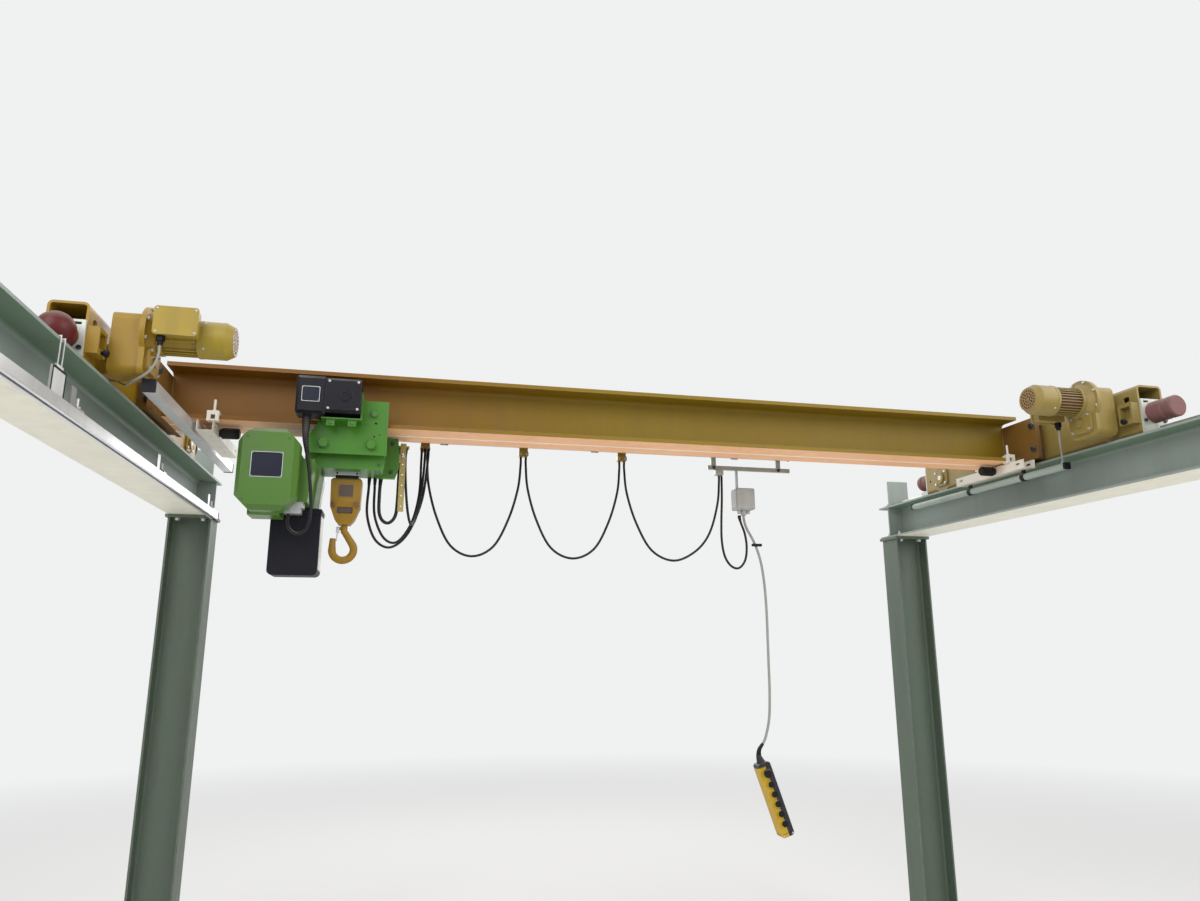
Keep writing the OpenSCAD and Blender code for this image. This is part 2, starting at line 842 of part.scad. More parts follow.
// The two struts with their clamps
clamp_w = 44;
module trolley_stops() {
    color(PALE) on_bridge()
        for (i = [0, 1]) {
            translate([strut_x[i], strut_y[i], strut_top - strut_h / 2])
                difference() {
                    along_y(strut_len)
                        difference() {
                            square([strut_w, strut_h], center = true);
                            translate([0, strut_t])
                                square([strut_w - 2 * strut_t, strut_h], center = true);
                        }
                    // Slots in both sides, near the ends, and a pair in the floor
                    for (sy = [-1, 1])
                        translate([0, sy * (strut_len / 2 - 40), 3])
                            along_x(strut_w + 2 * eps)
                                round_rect(strut_slot, 9, 4.4);
                    for (sy = [-1, 1])
                        translate([0, sy * (strut_len / 2 - 110), -strut_h / 2])
                            cylinder(d = 11, h = 4 * strut_t, center = true);
                }
            for (sy = [0, 1])
                translate([strut_x[i] + (i == 0 ? 24 : -24), 0, 0])
                    mirror([0, sy, 0])
                        strut_clamp();
        }
}
// Clamp that holds a strut to the girder's bottom flange
jaw = 24;
clamp_out = 9;
module strut_clamp() {
    out = girder_b / 2 + seat;
    difference() {
        along_x(clamp_w)
            polygon([
                [out - jaw, strut_top + seat], [out + clamp_out, strut_top + seat],
                [out + clamp_out, girder_z + girder_flange + 16], [out - jaw, girder_z + girder_flange + 12],
                [out - jaw, girder_z + girder_flange + seat], [out, girder_z + girder_flange + seat],
                [out, girder_z - seat], [out - jaw, girder_z - seat]
            ]);
        // Window in the upright
        translate([0, out + clamp_out / 2, girder_z + 8])
            cube([16, clamp_out + 2 * eps, 18], center = true);
    }
    // Set screw with its nut
    translate([0, out - jaw / 2, girder_z + girder_flange + 6]) {
        cylinder(d = 10, h = 58);
        cylinder(d = 20, h = 16, $fn = 6);
    }
}

stop_buffer_l = 75;
stop_buffer_d = 44;
module stop_buffers() {
    color(BLACK) on_bridge()
        for (i = [0, 1])
            translate([
                strut_x[i] - (2 * i - 1) * (strut_w + stop_buffer_l) / 2, 0, strut_low + strut_h / 2
            ])
                rotate([0, 0, i == 0 ? 0 : 180])
                    rotate([0, 90, 0])
                        translate([0, 0, -stop_buffer_l / 2])
                            rotate_extrude()
                                polygon([
                                    [0, 0], [15, 0], [15, 6], [stop_buffer_d / 2 - 4, 6],
                                    [stop_buffer_d / 2, 12], [stop_buffer_d / 2, stop_buffer_l - 6],
                                    [stop_buffer_d / 2 - 5, stop_buffer_l], [0, stop_buffer_l]
                                ]);
}

// Festoon line on the far side of the girder
festoon_y = 300;
festoon_rail_z = girder_z + 62;
festoon_rail_len = 2500;
festoon_start = -1620;
c_rail_w = 32;
c_rail_wall = 2.5;
module festoon_rail() {
    color(STEEL) on_bridge()
        translate([festoon_start + festoon_rail_len / 2, festoon_y, festoon_rail_z])
            along_x(festoon_rail_len)
                c_section(c_rail_w, c_rail_w, c_rail_wall, 12);
}

arm_first = 120;
arm_pitch = 700;
arm_w = 36;
arm_t = 6;
arm_z = festoon_rail_z + 60;
module festoon_arms() {
    color(STEEL) on_bridge()
        for (i = [0 : 3])
            translate([festoon_start + arm_first + i * arm_pitch, 0, 0]) {
                // Angle from the girder's web out over the rail
                translate([0, (girder_web / 2 + festoon_y) / 2 + 8, arm_z])
                    cube([arm_w, festoon_y - girder_web / 2 + 16, arm_t], center = true);
                translate([0, (girder_web / 2 + festoon_y) / 2 + 8, arm_z + 13])
                    cube([arm_t, festoon_y - girder_web / 2 + 16, 28], center = true);
                translate([0, girder_web / 2 + arm_t / 2, arm_z - 6])
                    cube([arm_w + 14, arm_t, 60], center = true);
                // Clip that grips the rail's upper corners
                translate([0, festoon_y, (arm_z + festoon_rail_z + c_rail_w / 2) / 2])
                    cube([
                        arm_w - 6, 12, arm_z - festoon_rail_z - c_rail_w / 2 - 2 * seat
                    ], center = true);
                translate([0, festoon_y, festoon_rail_z])
                    along_x(arm_w)
                        difference() {
                            square([c_rail_w + 2 * seat + 8, c_rail_w + 2 * seat + 8], center = true);
                            square([c_rail_w + 2 * seat, c_rail_w + 2 * seat], center = true);
                            translate([0, -c_rail_w / 2 - 4])
                                square([c_rail_w - 6, 20], center = true);
                        }
            }
}

bar_x0 = 455;
bar_x1 = 880;
bar_z = girder_z - 8;
bar_t = 20;
bar_w = 14;
bar_tie_w = 24;
module pendant_bar() {
    color(STEEL) on_bridge()
        translate([0, festoon_y, 0]) {
            translate([(bar_x0 + bar_x1) / 2, 0, bar_z])
                cube([bar_x1 - bar_x0, bar_w, bar_t], center = true);
            for (x = [bar_x0 + 30, bar_x1 - 60])
                translate([x, 0, (bar_z + festoon_rail_z - c_rail_w / 2 - seat) / 2])
                    cube([bar_tie_w, 10, festoon_rail_z - c_rail_w / 2 - seat - bar_z], center = true);
            // Clamp that holds the fixed end of the festoon cable
            translate([clamp_x, 0, bar_z - bar_t / 2 - clamp_h / 2 + eps / 2])
                along_y(26)
                    round_rect(40, clamp_h + eps, 6);
        }
}

jbox_x = 632;
jbox_z = 2291;
jbox_w = 96;
jbox_h = 104;
jbox_t = 60;
strap_w = 20;
module junction_box() {
    color(PALE) on_bridge()
        translate([jbox_x, festoon_y, jbox_z]) {
            along_y(jbox_t)
                round_rect(jbox_w, jbox_h, 8);
            // Lid with its rim
            translate([0, -jbox_t / 2, 0])
                along_y(8)
                    round_rect(jbox_w - 8, jbox_h - 8, 6);
            // Strap up to the bar
            strap_h = bar_z - bar_t / 2 - jbox_z - seat - jbox_h / 2 + 10;
            translate([-30, 0, jbox_h / 2 - 10 + strap_h / 2])
                cube([6, strap_w, strap_h], center = true);
            for (x = [-22, 22])
                translate([x, 0, -jbox_h / 2 - 8])
                    cylinder(d = 20, h = 18, center = true, $fn = 6);
            translate([0, 0, -jbox_h / 2 - gland_h / 2 + 1])
                cylinder(d = 26, h = gland_h + 2, center = true);
        }
}
gland_h = 24;
// Length of cable held inside a gland
gland_bite = 8;

// Pendant control, tilted where its cable bends
pendant_x = 722;
pendant_z = 932;
pendant_tilt = -19;
pendant_w = 62;
pendant_t = 56;
pendant_h = 330;
boss_h = 36;
button_d = 27;
button_pitch = 44;
buttons = 5;
module pendant_control() {
    color(YELLOW) on_bridge()
        translate([pendant_x, festoon_y, pendant_z])
            rotate([0, pendant_tilt, 0]) {
                along_y(pendant_t)
                    round_rect(pendant_w, pendant_h, 14);
                translate([0, 0, pendant_h / 2 - eps])
                    cylinder(d1 = 40, d2 = 20, h = boss_h + eps);
                // Raised rims round the buttons, on the face that looks back
                for (i = [0 : buttons - 1])
                    translate([0, -pendant_t / 2 - 2, pendant_h / 2 - 96 - i * button_pitch])
                        rod_y(button_d + 9, 6);
            }
}
module pendant_buttons() {
    color(BLACK) on_bridge()
        translate([pendant_x, festoon_y, pendant_z])
            rotate([0, pendant_tilt, 0]) {
                for (i = [0 : buttons - 1])
                    translate([
                        0, -pendant_t / 2 - 5 - button_t / 2, pendant_h / 2 - 96 - i * button_pitch
                    ])
                        rod_y(button_d, button_t);
                // Emergency stop with its stem
                translate([0, -pendant_t / 2, pendant_h / 2 - 44])
                    rotate([90, 0, 0])
                        rotate_extrude()
                            polygon([[0, 0], [12, 0], [12, 10], [19, 13], [20, 20], [15, 27], [0, 29]]);
            }
}
button_t = 6;

pendant_route = [
    [632, 300, 2223], [632, 300, 2195], [645, 300, 2150], [680, 300, 2085], [708, 300, 2000],
    [722, 300, 1900], [728, 300, 1780], [728, 300, 1650], [727, 300, 1520], [726, 300, 1400],
    [718, 300, 1280], [694, 300, 1190], [664, 300, 1145], [659, 300, 1115]
];
pendant_cable_d = 12;
module pendant_cable() {
    color(STEEL) on_bridge()
        tube(pendant_route, pendant_cable_d, 3);
}

carrier_x = [-884, -440, 27];
clamp_x = 511;
clamp_h = 28;
festoon_cable_d = 11;
carrier_low = girder_z;
loop_low = 1990;
function loop_route(x0, x1, z0, z1) = let (m = (x0 + x1) / 2, w = (x1 - x0) / 2) [
    [x0, festoon_y, z0], [x0, festoon_y, z0 - 40],
    [x0 + 0.05 * w, festoon_y, z0 - 150], [x0 + 0.24 * w, festoon_y, z0 - 290],
    [x0 + 0.55 * w, festoon_y, loop_low + 45],
    [m, festoon_y, loop_low],
    [x1 - 0.55 * w, festoon_y, loop_low + 45],
    [x1 - 0.24 * w, festoon_y, z1 - 290], [x1 - 0.05 * w, festoon_y, z1 - 150],
    [x1, festoon_y, z1 - 40], [x1, festoon_y, z1]
];
module festoon_cable() {
    top = carrier_low - seat;
    color(BLACK) on_bridge() {
        tube(loop_route(carrier_x[0] + 12, carrier_x[1] - 12, top, top), festoon_cable_d, 2);
        tube(loop_route(carrier_x[1] + 12, carrier_x[2] - 12, top, top), festoon_cable_d, 2);
        tube(loop_route(carrier_x[2] + 12, clamp_x, top, bar_z - bar_t / 2 - clamp_h + gland_bite),
            festoon_cable_d, 2);
    }
}

carrier_w = 44;
carrier_plate_t = 7;
roller_d = 20;
module carrier(i) {
    color(STEEL) on_bridge()
        translate([carrier_x[i], festoon_y, 0]) {
            // Hanger plate that passes through the rail's mouth
            translate([0, 0, (festoon_rail_z + carrier_low + 20) / 2])
                cube([carrier_w - 4, carrier_plate_t, festoon_rail_z - carrier_low - 20], center = true);
            // Rollers on the rail's lips
            for (x = [-12, 12])
                translate([x, 0, festoon_rail_z - c_rail_w / 2 + c_rail_wall + seat + roller_d / 2])
                    rod_y(roller_d, 22);
            translate([0, 0, festoon_rail_z - c_rail_w / 2 + c_rail_wall + seat + roller_d / 2])
                cube([24, carrier_plate_t, roller_d], center = true);
            // Saddle with round shoulders that carries the cable
            translate([0, 0, carrier_low + 13])
                along_y(26)
                    round_rect(carrier_w, 26, 8);
        }
}
module carrier_1() { carrier(0); }
module carrier_2() { carrier(1); }
module carrier_3() { carrier(2); }

// Hoist trolley

module on_trolley() {
    translate([trolley_x, crane_y, 0])
        children();
}

plate_y = girder_b / 2 + side_plate_gap + side_plate_t / 2;
plate_low = -118;
plate_high = 100;
rod_z = girder_z - 79;
rod_pitch = 180;
wheel_pitch = 190;
trolley_wheel_z = girder_z + girder_flange + seat + trolley_wheel_d / 2;
plate_nose = 36;
shelf_t = 5;
shelf_l = 150;
module trolley_side_plates() {
    color(LIME) on_trolley() {
        for (sy = [-1, 1])
            translate([0, sy * plate_y, girder_z])
                along_y(side_plate_t)
                    difference() {
                        polygon([
                            [-side_plate_l / 2, plate_low], [side_plate_l / 2, plate_low],
                            [side_plate_l / 2, plate_high], [-side_plate_l / 2 + plate_nose, plate_high],
                            [-side_plate_l / 2 + plate_nose, 4], [-side_plate_l / 2, -58]
                        ]);
                        for (h = [[104, 10, 9], [100, -44, 9], [120, -36, 6]])
                            translate([h[0], h[1]])
                                circle(d = h[2]);
                    }
        // Shelf with bent lips that carries the drive, and the end plate of its cover
        translate([-24, -plate_y - side_plate_t / 2 - 33, girder_z]) {
            translate([0, 0, 4 + shelf_t / 2])
                cube([shelf_l, 66 + eps, shelf_t], center = true);
            for (x = [-40, 40])
                translate([x, -24, -8])
                    cube([30, shelf_t, 26], center = true);
            translate([shelf_l / 2 - 1, 0, 60])
                cube([shelf_t, 66 + eps, 112], center = true);
        }
    }
}

// Casting between the side plates, which carries the hoist and the chain
frame_low = girder_z - 168;
frame_high = girder_z - 64;
arm_w_y = 120;
lug_h = 44;
bracket_y = 46;
bracket_t = 24;
bracket_low = -176;
frame_w = 190;
module trolley_frame() {
    color(LIME) on_trolley() {
        // Traverse rods that hold the two side plates apart
        for (x = [-1, 1])
            translate([x * rod_pitch / 2, 0, rod_z])
                rod_y(30, 2 * plate_y - side_plate_t - 2 * seat);
        difference() {
            union() {
                translate([0, 0, (frame_low + frame_high) / 2])
                    along_y(frame_w)
                        round_rect(side_plate_l - 16, frame_high - frame_low, 14);
                // Arm to the hoist body
                translate([
                    (body_step + seat - side_plate_l / 2 + 20) / 2, 0, (frame_low + frame_high) / 2
                ])
                    cube([
                        -side_plate_l / 2 + 20 - body_step - seat, arm_w_y, frame_high - frame_low - 30
                    ], center = true);
                // Lugs that meet the rubber stops
                for (sx = [-1, 1])
                    translate([sx * (side_plate_l / 2 - 24), 0, frame_high + lug_h / 2 - eps])
                        cube([16, 60, lug_h], center = true);
                // Bracket at the right end, under the girder
                translate([0, bracket_y, girder_z])
                    along_y(bracket_t)
                        translate([side_plate_l / 2, 0])
                            polygon([
                                [-20, -70], [-7, -6], [40, -6], [48, -60], [48, -130],
                                [34, bracket_low], [-42, bracket_low], [-46, -150]
                            ]);
            }
            // Pocket that the chain runs up into
            translate([0, 0, frame_low])
                cube([2 * fall_x + 34, 44, 2 * pocket_h], center = true);
        }
    }
}

module trolley_wheels() {
    color(STEEL) on_trolley()
        for (sx = [-1, 1], sy = [-1, 1])
            translate([sx * wheel_pitch / 2, sy * (girder_b / 2 - 14), trolley_wheel_z]) {
                rod_y(trolley_wheel_d, 26);
                translate([0, sy * (14 + side_plate_gap - seat) / 2, 0])
                    rod_y(20, 14 + side_plate_gap - seat);
            }
}

motor_cover_t = 100;
module trolley_motor() {
    color(BLACK) on_trolley()
        translate([0, -plate_y - side_plate_t / 2 - seat, 0]) {
            translate([-138, -motor_cover_t / 2, girder_z + 88])
                intersection() {
                    along_y(motor_cover_t)
                        round_rect(110, 150, 12);
                    along_x(110)
                        octagon(motor_cover_t, 150, 12);
                    linear_extrude(150, center = true)
                        octagon(110, motor_cover_t, 12);
                }
            // Second cover, a little lower, with a round recess
            translate([-20, -(motor_cover_t - 10) / 2, girder_z + 93])
                difference() {
                    intersection() {
                        along_y(motor_cover_t - 10)
                            round_rect(134, 136, 10);
                        along_x(134)
                            octagon(motor_cover_t - 10, 136, 10);
                    }
                    translate([8, -(motor_cover_t - 10) / 2, 0])
                        rod_y(52, 8);
                }
        }
}

container_x = -170;
container_z = 1862;
hoist_x = -hoist_w / 2 - side_plate_l / 2;
hoist_mid_z = 2222;
cover_t = 90;
hoist_front = -355;
module octagon(w, h, c) {
    polygon([
        [-w / 2 + c, -h / 2], [w / 2 - c, -h / 2], [w / 2, -h / 2 + c], [w / 2, h / 2 - c],
        [w / 2 - c, h / 2], [-w / 2 + c, h / 2], [-w / 2, h / 2 - c], [-w / 2, -h / 2 + c]
    ]);
}
// End view of the hoist body, drawn k inside its ribs
body_low = container_z + container_h + seat;
body_high = hoist_mid_z + hoist_h / 2 - 8;
body_left = hoist_x - hoist_w / 2;
body_step = hoist_x + hoist_w / 2 - 12;
body_right = -side_plate_l / 2 + 56;
module body_outline(k) {
    polygon([
        [body_left + 40, body_low], [body_right - 16 - k, body_low],
        [body_right - k, frame_low - 4], [body_step - k, frame_low - 4],
        [body_step - k, body_high - 46], [body_step - 46, body_high - k],
        [body_left + 46, body_high - k], [body_left + k, body_high - 46],
        [body_left + k, body_low + 40]
    ]);
}
body_ribs = 9;
rib_pitch = 22;
rib_in = 9;
foot_l = 110;
foot_h = 52;
module hoist_body() {
    color(LIME) on_trolley() {
        translate([0, hoist_front + cover_t + hoist_l / 2, 0]) {
            along_y(hoist_l)
                body_outline(rib_in);
            for (i = [0 : body_ribs - 1])
                translate([0, (i - (body_ribs - 1) / 2) * rib_pitch, 0])
                    along_y(7)
                        body_outline(0);
        }
        // Foot below the housing, beside the chain container
        translate([body_left + 38 + foot_l / 2, hoist_front + cover_t + 62, body_low - foot_h / 2 + eps])
            intersection() {
                cube([foot_l, 124, foot_h + 2 * eps], center = true);
                along_x(foot_l)
                    octagon(124, foot_h + 2 * eps + 24, 18);
            }
    }
}

cover_edge = 26;
module hoist_cover() {
    color(LIME) on_trolley()
        translate([hoist_x, hoist_front + cover_t / 2, hoist_mid_z])
            difference() {
                // Eight-sided cover whose front edges are drawn in
                intersection() {
                    along_y(cover_t)
                        octagon(hoist_w, hoist_h, 52);
                    along_x(hoist_w)
                        polygon(cover_edges(cover_t, hoist_h));
                    linear_extrude(hoist_h, center = true)
                        polygon([for (p = cover_edges(cover_t, hoist_w)) [p[1], p[0]]]);
                }
                // Shallow seat for a plate
                translate([0, -cover_t / 2, 12])
                    along_y(3)
                        round_rect(112, 96, 4);
            }
}
// Side view of a cover t thick and h high, front edges drawn in
function cover_edges(t, h) = [
    [t / 2, -h / 2], [t / 2, h / 2], [cover_edge - t / 2, h / 2], [-t / 2, h / 2 - cover_edge * 0.7],
    [-t / 2, cover_edge * 0.7 - h / 2], [cover_edge - t / 2, -h / 2]
];

plug_w = 76;
plug_l = 60;
plug_h = 42;
module hoist_plug() {
    color(STEEL) on_trolley()
        translate([container_x, hoist_front + cover_t + 36, body_low - plug_h / 2]) {
            translate([0, 0, plug_h / 4])
                cube([plug_w, plug_l, plug_h / 2], center = true);
            along_y(plug_l - 14)
                round_rect(plug_w - 14, plug_h, 5);
            // Locking levers
            for (sy = [-1, 1])
                translate([0, sy * (plug_l / 2 - 3), -4])
                    cube([14, 6, 24], center = true);
        }
}

module chain_container() {
    color(BLACK) on_trolley()
        translate([container_x, -60, container_z + container_h / 2]) {
            intersection() {
                along_y(container_t)
                    round_rect(container_w, container_h, 18);
                along_x(container_w)
                    octagon(container_t, container_h, 12);
            }
            // Rolled rim round the mouth
            translate([0, 0, container_h / 2 - 11])
                cube([container_w + 5, container_t + 5, 14], center = true);
        }
}

guide_t = 14;
fall_x = 30;
pocket_h = 40;
module chain_guide() {
    color(STEEL) on_trolley()
        translate([0, 0, frame_low - guide_t / 2])
            difference() {
                cube([2 * fall_x + 34, 62, guide_t], center = true);
                for (x = [-fall_x, fall_x])
                    translate([x, 0, 0])
                        cylinder(d = chain_d * 3.8, h = guide_t + 2 * eps, center = true);
            }
}

arm_bar_w = 24;
arm_bar_t = 8;
arm_bar_top = -23;
arm_bar_h = 286;
arm_x = 213;
tab_z = -38;
module tow_arm() {
    color(YELLOW) on_trolley()
        translate([0, bracket_y, girder_z]) {
            // Bar with a row of holes
            translate([arm_x, 4, arm_bar_top - arm_bar_h / 2])
                difference() {
                    cube([arm_bar_w, arm_bar_t, arm_bar_h], center = true);
                    for (i = [0 : 5])
                        translate([0, 0, -arm_bar_h / 2 + 22 + i * 44])
                            rod_y(7, arm_bar_t + 2 * eps);
                }
            // Tab that the tow cable hangs from
            translate([arm_x, 32, tab_z + 4])
                cube([48, 36, 8], center = true);
            translate([arm_x, 10, tab_z + 4])
                cube([arm_bar_w - 2, 14, 8], center = true);
            // Block between the bar and the bracket
            translate([side_plate_l / 2 + 48 + seat + 3, 0, -90])
                cube([6, bracket_t, 36], center = true);
        }
}

tow_route = [
    [-966, 66, 2411.7], [-966, 66, 2340], [-958, 80, 2230], [-945, 120, 2140], [-930, 175, 2106],
    [-912, 225, 2140], [-896, 256, 2230], [-887, 272, 2340], [-884, 278, 2430], [-884, 279, 2463]
];
module tow_cable() {
    color(BLACK) on_bridge()
        tube(tow_route, festoon_cable_d, 3);
}

tow_route_2 = [
    [-1085, 80, 2281.7], [-1085, 82, 2240], [-1080, 110, 2130], [-1040, 165, 2045], [-985, 212, 2035],
    [-930, 250, 2120], [-902, 270, 2250], [-899, 277, 2400], [-899, 279, 2463]
];
module tow_cable_2() {
    color(BLACK) on_bridge()
        tube(tow_route_2, festoon_cable_d, 3);
}

// Lead from the trolley's drive to the hoist's plug
lead_d = 12;
lead_route = [
    [-1340, -200, 2462.7], [-1340, -204, 2440], [-1337, -228, 2400], [-1331, -262, 2350], [-1318, -284, 2290],
    [-1304, -289, 2210], [-1294, -288, 2130], [-1292, -286, 2060], [-1305, -278, 2015], [-1333, -262, 2000],
    [-1361, -246, 2015], [-1374, -236, 2045], [-1374, -236, 2075]
];
module hoist_lead() {
    color(BLACK) on_bridge()
        tube(lead_route, lead_d, 2);
}

// Load chain, hook block and hook

bumper_t = 11;
block_top = frame_low - guide_t - seat - bumper_t;
chain_top = frame_low + pocket_h - seat;
links = 4;
link_pitch = 3 * chain_d;
link_w = 3.3 * chain_d;
link_step = link_pitch - seat;
chain_low = chain_top - (links - 1) * link_step - link_pitch - 2 * chain_d;
well_h = block_top - chain_low + seat;
module chain_link() {
    bend_r = (link_w - chain_d) / 2;
    straight = link_pitch + chain_d - 2 * bend_r;
    for (s = [0, 180])
        rotate([0, s, 0]) {
            translate([0, 0, straight / 2])
                rotate([90, 0, 0])
                    rotate_extrude(angle = 180)
                        translate([bend_r, 0])
                            circle(d = chain_d, $fn = 24);
            translate([bend_r, 0, 0])
                cylinder(d = chain_d, h = straight, center = true, $fn = 24);
        }
}
module chain() {
    color(STEEL) on_trolley()
        for (x = [-fall_x, fall_x], i = [0 : links - 1])
            translate([x, 0, chain_top - link_pitch / 2 - chain_d - link_step * i])
                rotate([0, 0, 45 + i * 90])
                    chain_link();
}

block_low = block_top - block_h;
boss_x = 43;
block_foot = 26;
module hook_block() {
    color(YELLOW) on_trolley() {
        difference() {
            union() {
                translate([0, 0, block_top])
                    intersection() {
                        along_y(block_t)
                            polygon([
                                [-22, -block_h], [22, -block_h], [38, 20 - block_h],
                                [block_w / 2 - 3, -116], [block_w / 2, -10],
                                [block_w / 2 - 8, 0], [8 - block_w / 2, 0],
                                [-block_w / 2, -10], [3 - block_w / 2, -116], [-38, 20 - block_h]
                            ]);
                        along_x(block_w)
                            polygon([
                                [-block_foot, -block_h], [block_foot, -block_h],
                                [block_t / 2, -block_h / 2], [block_t / 2, -8],
                                [block_t / 2 - 8, 0], [8 - block_t / 2, 0],
                                [-block_t / 2, -8], [-block_t / 2, -block_h / 2]
                            ]);
                    }
                for (x = [-boss_x, boss_x])
                    translate([x, 0, block_top - 106])
                        rod_y(22, block_t + 10);
            }
            // Well that the chain falls run into
            translate([0, 0, block_top])
                cube([2 * fall_x + 34, 34, 2 * well_h], center = true);
            // Seat of the hook's shank
            translate([0, 0, block_low - eps])
                cylinder(d = shank_d + 2 * seat, h = 60 + eps);
        }
    }
}

module block_bumper() {
    color(BLACK) on_trolley()
        translate([0, 0, block_top + bumper_t / 2])
            difference() {
                cube([2 * fall_x + 28, 60, bumper_t], center = true);
                for (x = [-fall_x, fall_x])
                    translate([x, 0, 0])
                        cylinder(d = chain_d * 3.8, h = bumper_t + 2 * eps, center = true);
            }
}

// Hook: a round section swept round the bowl and back up to the shank
shank_d = 24;
neck_d = 26;
hook_r = hook_bowl_r + hook_d / 2;
hook_c = hook_z + hook_bowl_r + hook_d;
// Height above the bowl's centre where the neck comes back to the middle
neck_z = 75;
rise = asin(hook_r / neck_z);
neck_len = hook_r / tan(rise);
point_h = 44;
point_w = 22;
lug_t = 10;
pin_d = 6;
pin_fit = 0.08;
// A swept piece meets the bowl with a small step, as at a forging's trim line
step = 0.6;
module hook() {
    color(YELLOW) on_trolley()
        translate([0, 0, hook_c])
            difference() {
                union() {
                    // Bowl, from the point on the left round to the right
                    rotate([90, 0, 0])
                        rotate([0, 0, 180])
                            rotate_extrude(angle = 180 + rise)
                                translate([hook_r, 0])
                                    circle(d = hook_d);
                    translate([-hook_r, 0, -eps])
                        cylinder(d1 = hook_d - step, d2 = point_w, h = point_h + eps);
                    // Neck, back to the middle
                    translate([hook_r * cos(rise), 0, hook_r * sin(rise)])
                        rotate([0, -rise, 0])
                            translate([0, 0, -eps])
                                cylinder(d1 = hook_d - step, d2 = neck_d - step, h = neck_len - 4 + eps);
                    // Collar and shank as one turned shape, with a rounded foot
                    translate([0, 0, neck_z - 13])
                        rotate_extrude()
                            polygon([
                                [0, 0], [neck_d / 2 - 5, 0], [neck_d / 2, 8],
                                [neck_d / 2, block_low - seat - hook_c - neck_z + 13],
                                [shank_d / 2, block_low - seat - hook_c - neck_z + 13],
                                [shank_d / 2, block_low + 55 - hook_c - neck_z + 13],
                                [0, block_low + 55 - hook_c - neck_z + 13]
                            ]);
                    // Lug for the latch pin
                    translate([latch_pivot_x / 2, 0, latch_pivot_z])
                        cube([-latch_pivot_x + 8, lug_t, 12], center = true);
                }
                translate([latch_pivot_x, 0, latch_pivot_z])
                    rod_y(pin_d + 2 * pin_fit, lug_t + 2 * eps);
            }
}

latch_pivot_x = -24;
latch_pivot_z = 84;
latch_t = 4;
ear_t = 3;
latch_w = lug_t + 2 * (seat + ear_t);
// Height above the bowl's centre where the latch rests against the point
latch_low = 34;
latch_end_x = -hook_r + (hook_d - (hook_d - point_w) * latch_low / point_h) / 2 + latch_t / 2 + 2 * seat;
latch_tilt = atan((latch_pivot_x - latch_end_x) / (latch_pivot_z - latch_low));
latch_len = (latch_pivot_z - latch_low) / cos(latch_tilt);
module latch() {
    color(STEEL) on_trolley()
        translate([latch_pivot_x, 0, hook_c + latch_pivot_z])
            rotate([0, latch_tilt, 0]) {
                translate([0, 0, -(latch_len + 12) / 2])
                    cube([latch_t, latch_w, latch_len - 12], center = true);
                for (sy = [-1, 1])
                    translate([0, sy * (lug_t / 2 + seat + ear_t / 2), -5])
                        cube([12, ear_t, 24], center = true);
                rod_y(pin_d, latch_w);
            }
}

columns_left();
columns_right();
runway_left();
runway_right();
crane_rails();
runway_stops();
supply_rail();
supply_hangers();
hanging_plate();
girder();
girder_end_plates();
end_carriages();
crane_wheels();
wheel_hubs();
buffer_plates();
buffers_left();
buffers_right();
gear_cases();
travel_motors();
fan_cowls();
terminal_boxes();
drive_glands();
drive_cable_left();
drive_cable_right();
cable_duct_left();
conduit_right();
duct_fittings();
trolley_stops();
stop_buffers();
festoon_rail();
festoon_arms();
pendant_bar();
junction_box();
pendant_control();
pendant_buttons();
pendant_cable();
festoon_cable();
carrier_1();
carrier_2();
carrier_3();
trolley_side_plates();
trolley_frame();
trolley_wheels();
trolley_motor();
hoist_body();
hoist_cover();
hoist_plug();
chain_container();
chain_guide();
tow_arm();
tow_cable();
tow_cable_2();
hoist_lead();
chain();
hook_block();
block_bumper();
hook();
latch();
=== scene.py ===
"""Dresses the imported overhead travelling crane: finishes, small fittings, cords, light and camera."""

import json
import logging
import math
from dataclasses import dataclass, field
from enum import Enum
from typing import Sequence

import bmesh
import bpy
import numpy as np
from mathutils import Euler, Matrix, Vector

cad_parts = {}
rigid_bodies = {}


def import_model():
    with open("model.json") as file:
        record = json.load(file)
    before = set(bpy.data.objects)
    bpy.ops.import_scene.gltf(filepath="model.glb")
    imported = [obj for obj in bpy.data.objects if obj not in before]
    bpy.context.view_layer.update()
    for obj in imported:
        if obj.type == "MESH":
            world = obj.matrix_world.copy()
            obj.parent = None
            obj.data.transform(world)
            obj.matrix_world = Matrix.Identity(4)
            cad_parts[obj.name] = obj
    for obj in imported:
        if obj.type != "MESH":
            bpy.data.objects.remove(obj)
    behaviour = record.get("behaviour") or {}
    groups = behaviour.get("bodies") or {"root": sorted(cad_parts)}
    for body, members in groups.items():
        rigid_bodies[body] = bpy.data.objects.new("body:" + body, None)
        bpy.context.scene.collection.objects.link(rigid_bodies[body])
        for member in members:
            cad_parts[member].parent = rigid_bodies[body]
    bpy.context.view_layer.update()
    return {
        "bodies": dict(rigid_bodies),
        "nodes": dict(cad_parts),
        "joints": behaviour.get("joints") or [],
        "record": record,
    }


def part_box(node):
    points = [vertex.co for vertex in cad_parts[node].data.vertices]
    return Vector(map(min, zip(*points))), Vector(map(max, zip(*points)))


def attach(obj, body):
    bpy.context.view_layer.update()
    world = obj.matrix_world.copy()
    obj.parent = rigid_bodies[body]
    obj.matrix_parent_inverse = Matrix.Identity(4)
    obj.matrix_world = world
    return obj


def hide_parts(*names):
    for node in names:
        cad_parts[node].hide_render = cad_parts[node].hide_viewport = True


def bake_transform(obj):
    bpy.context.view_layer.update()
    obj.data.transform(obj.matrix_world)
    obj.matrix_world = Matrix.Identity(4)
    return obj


log = logging.getLogger("crane")
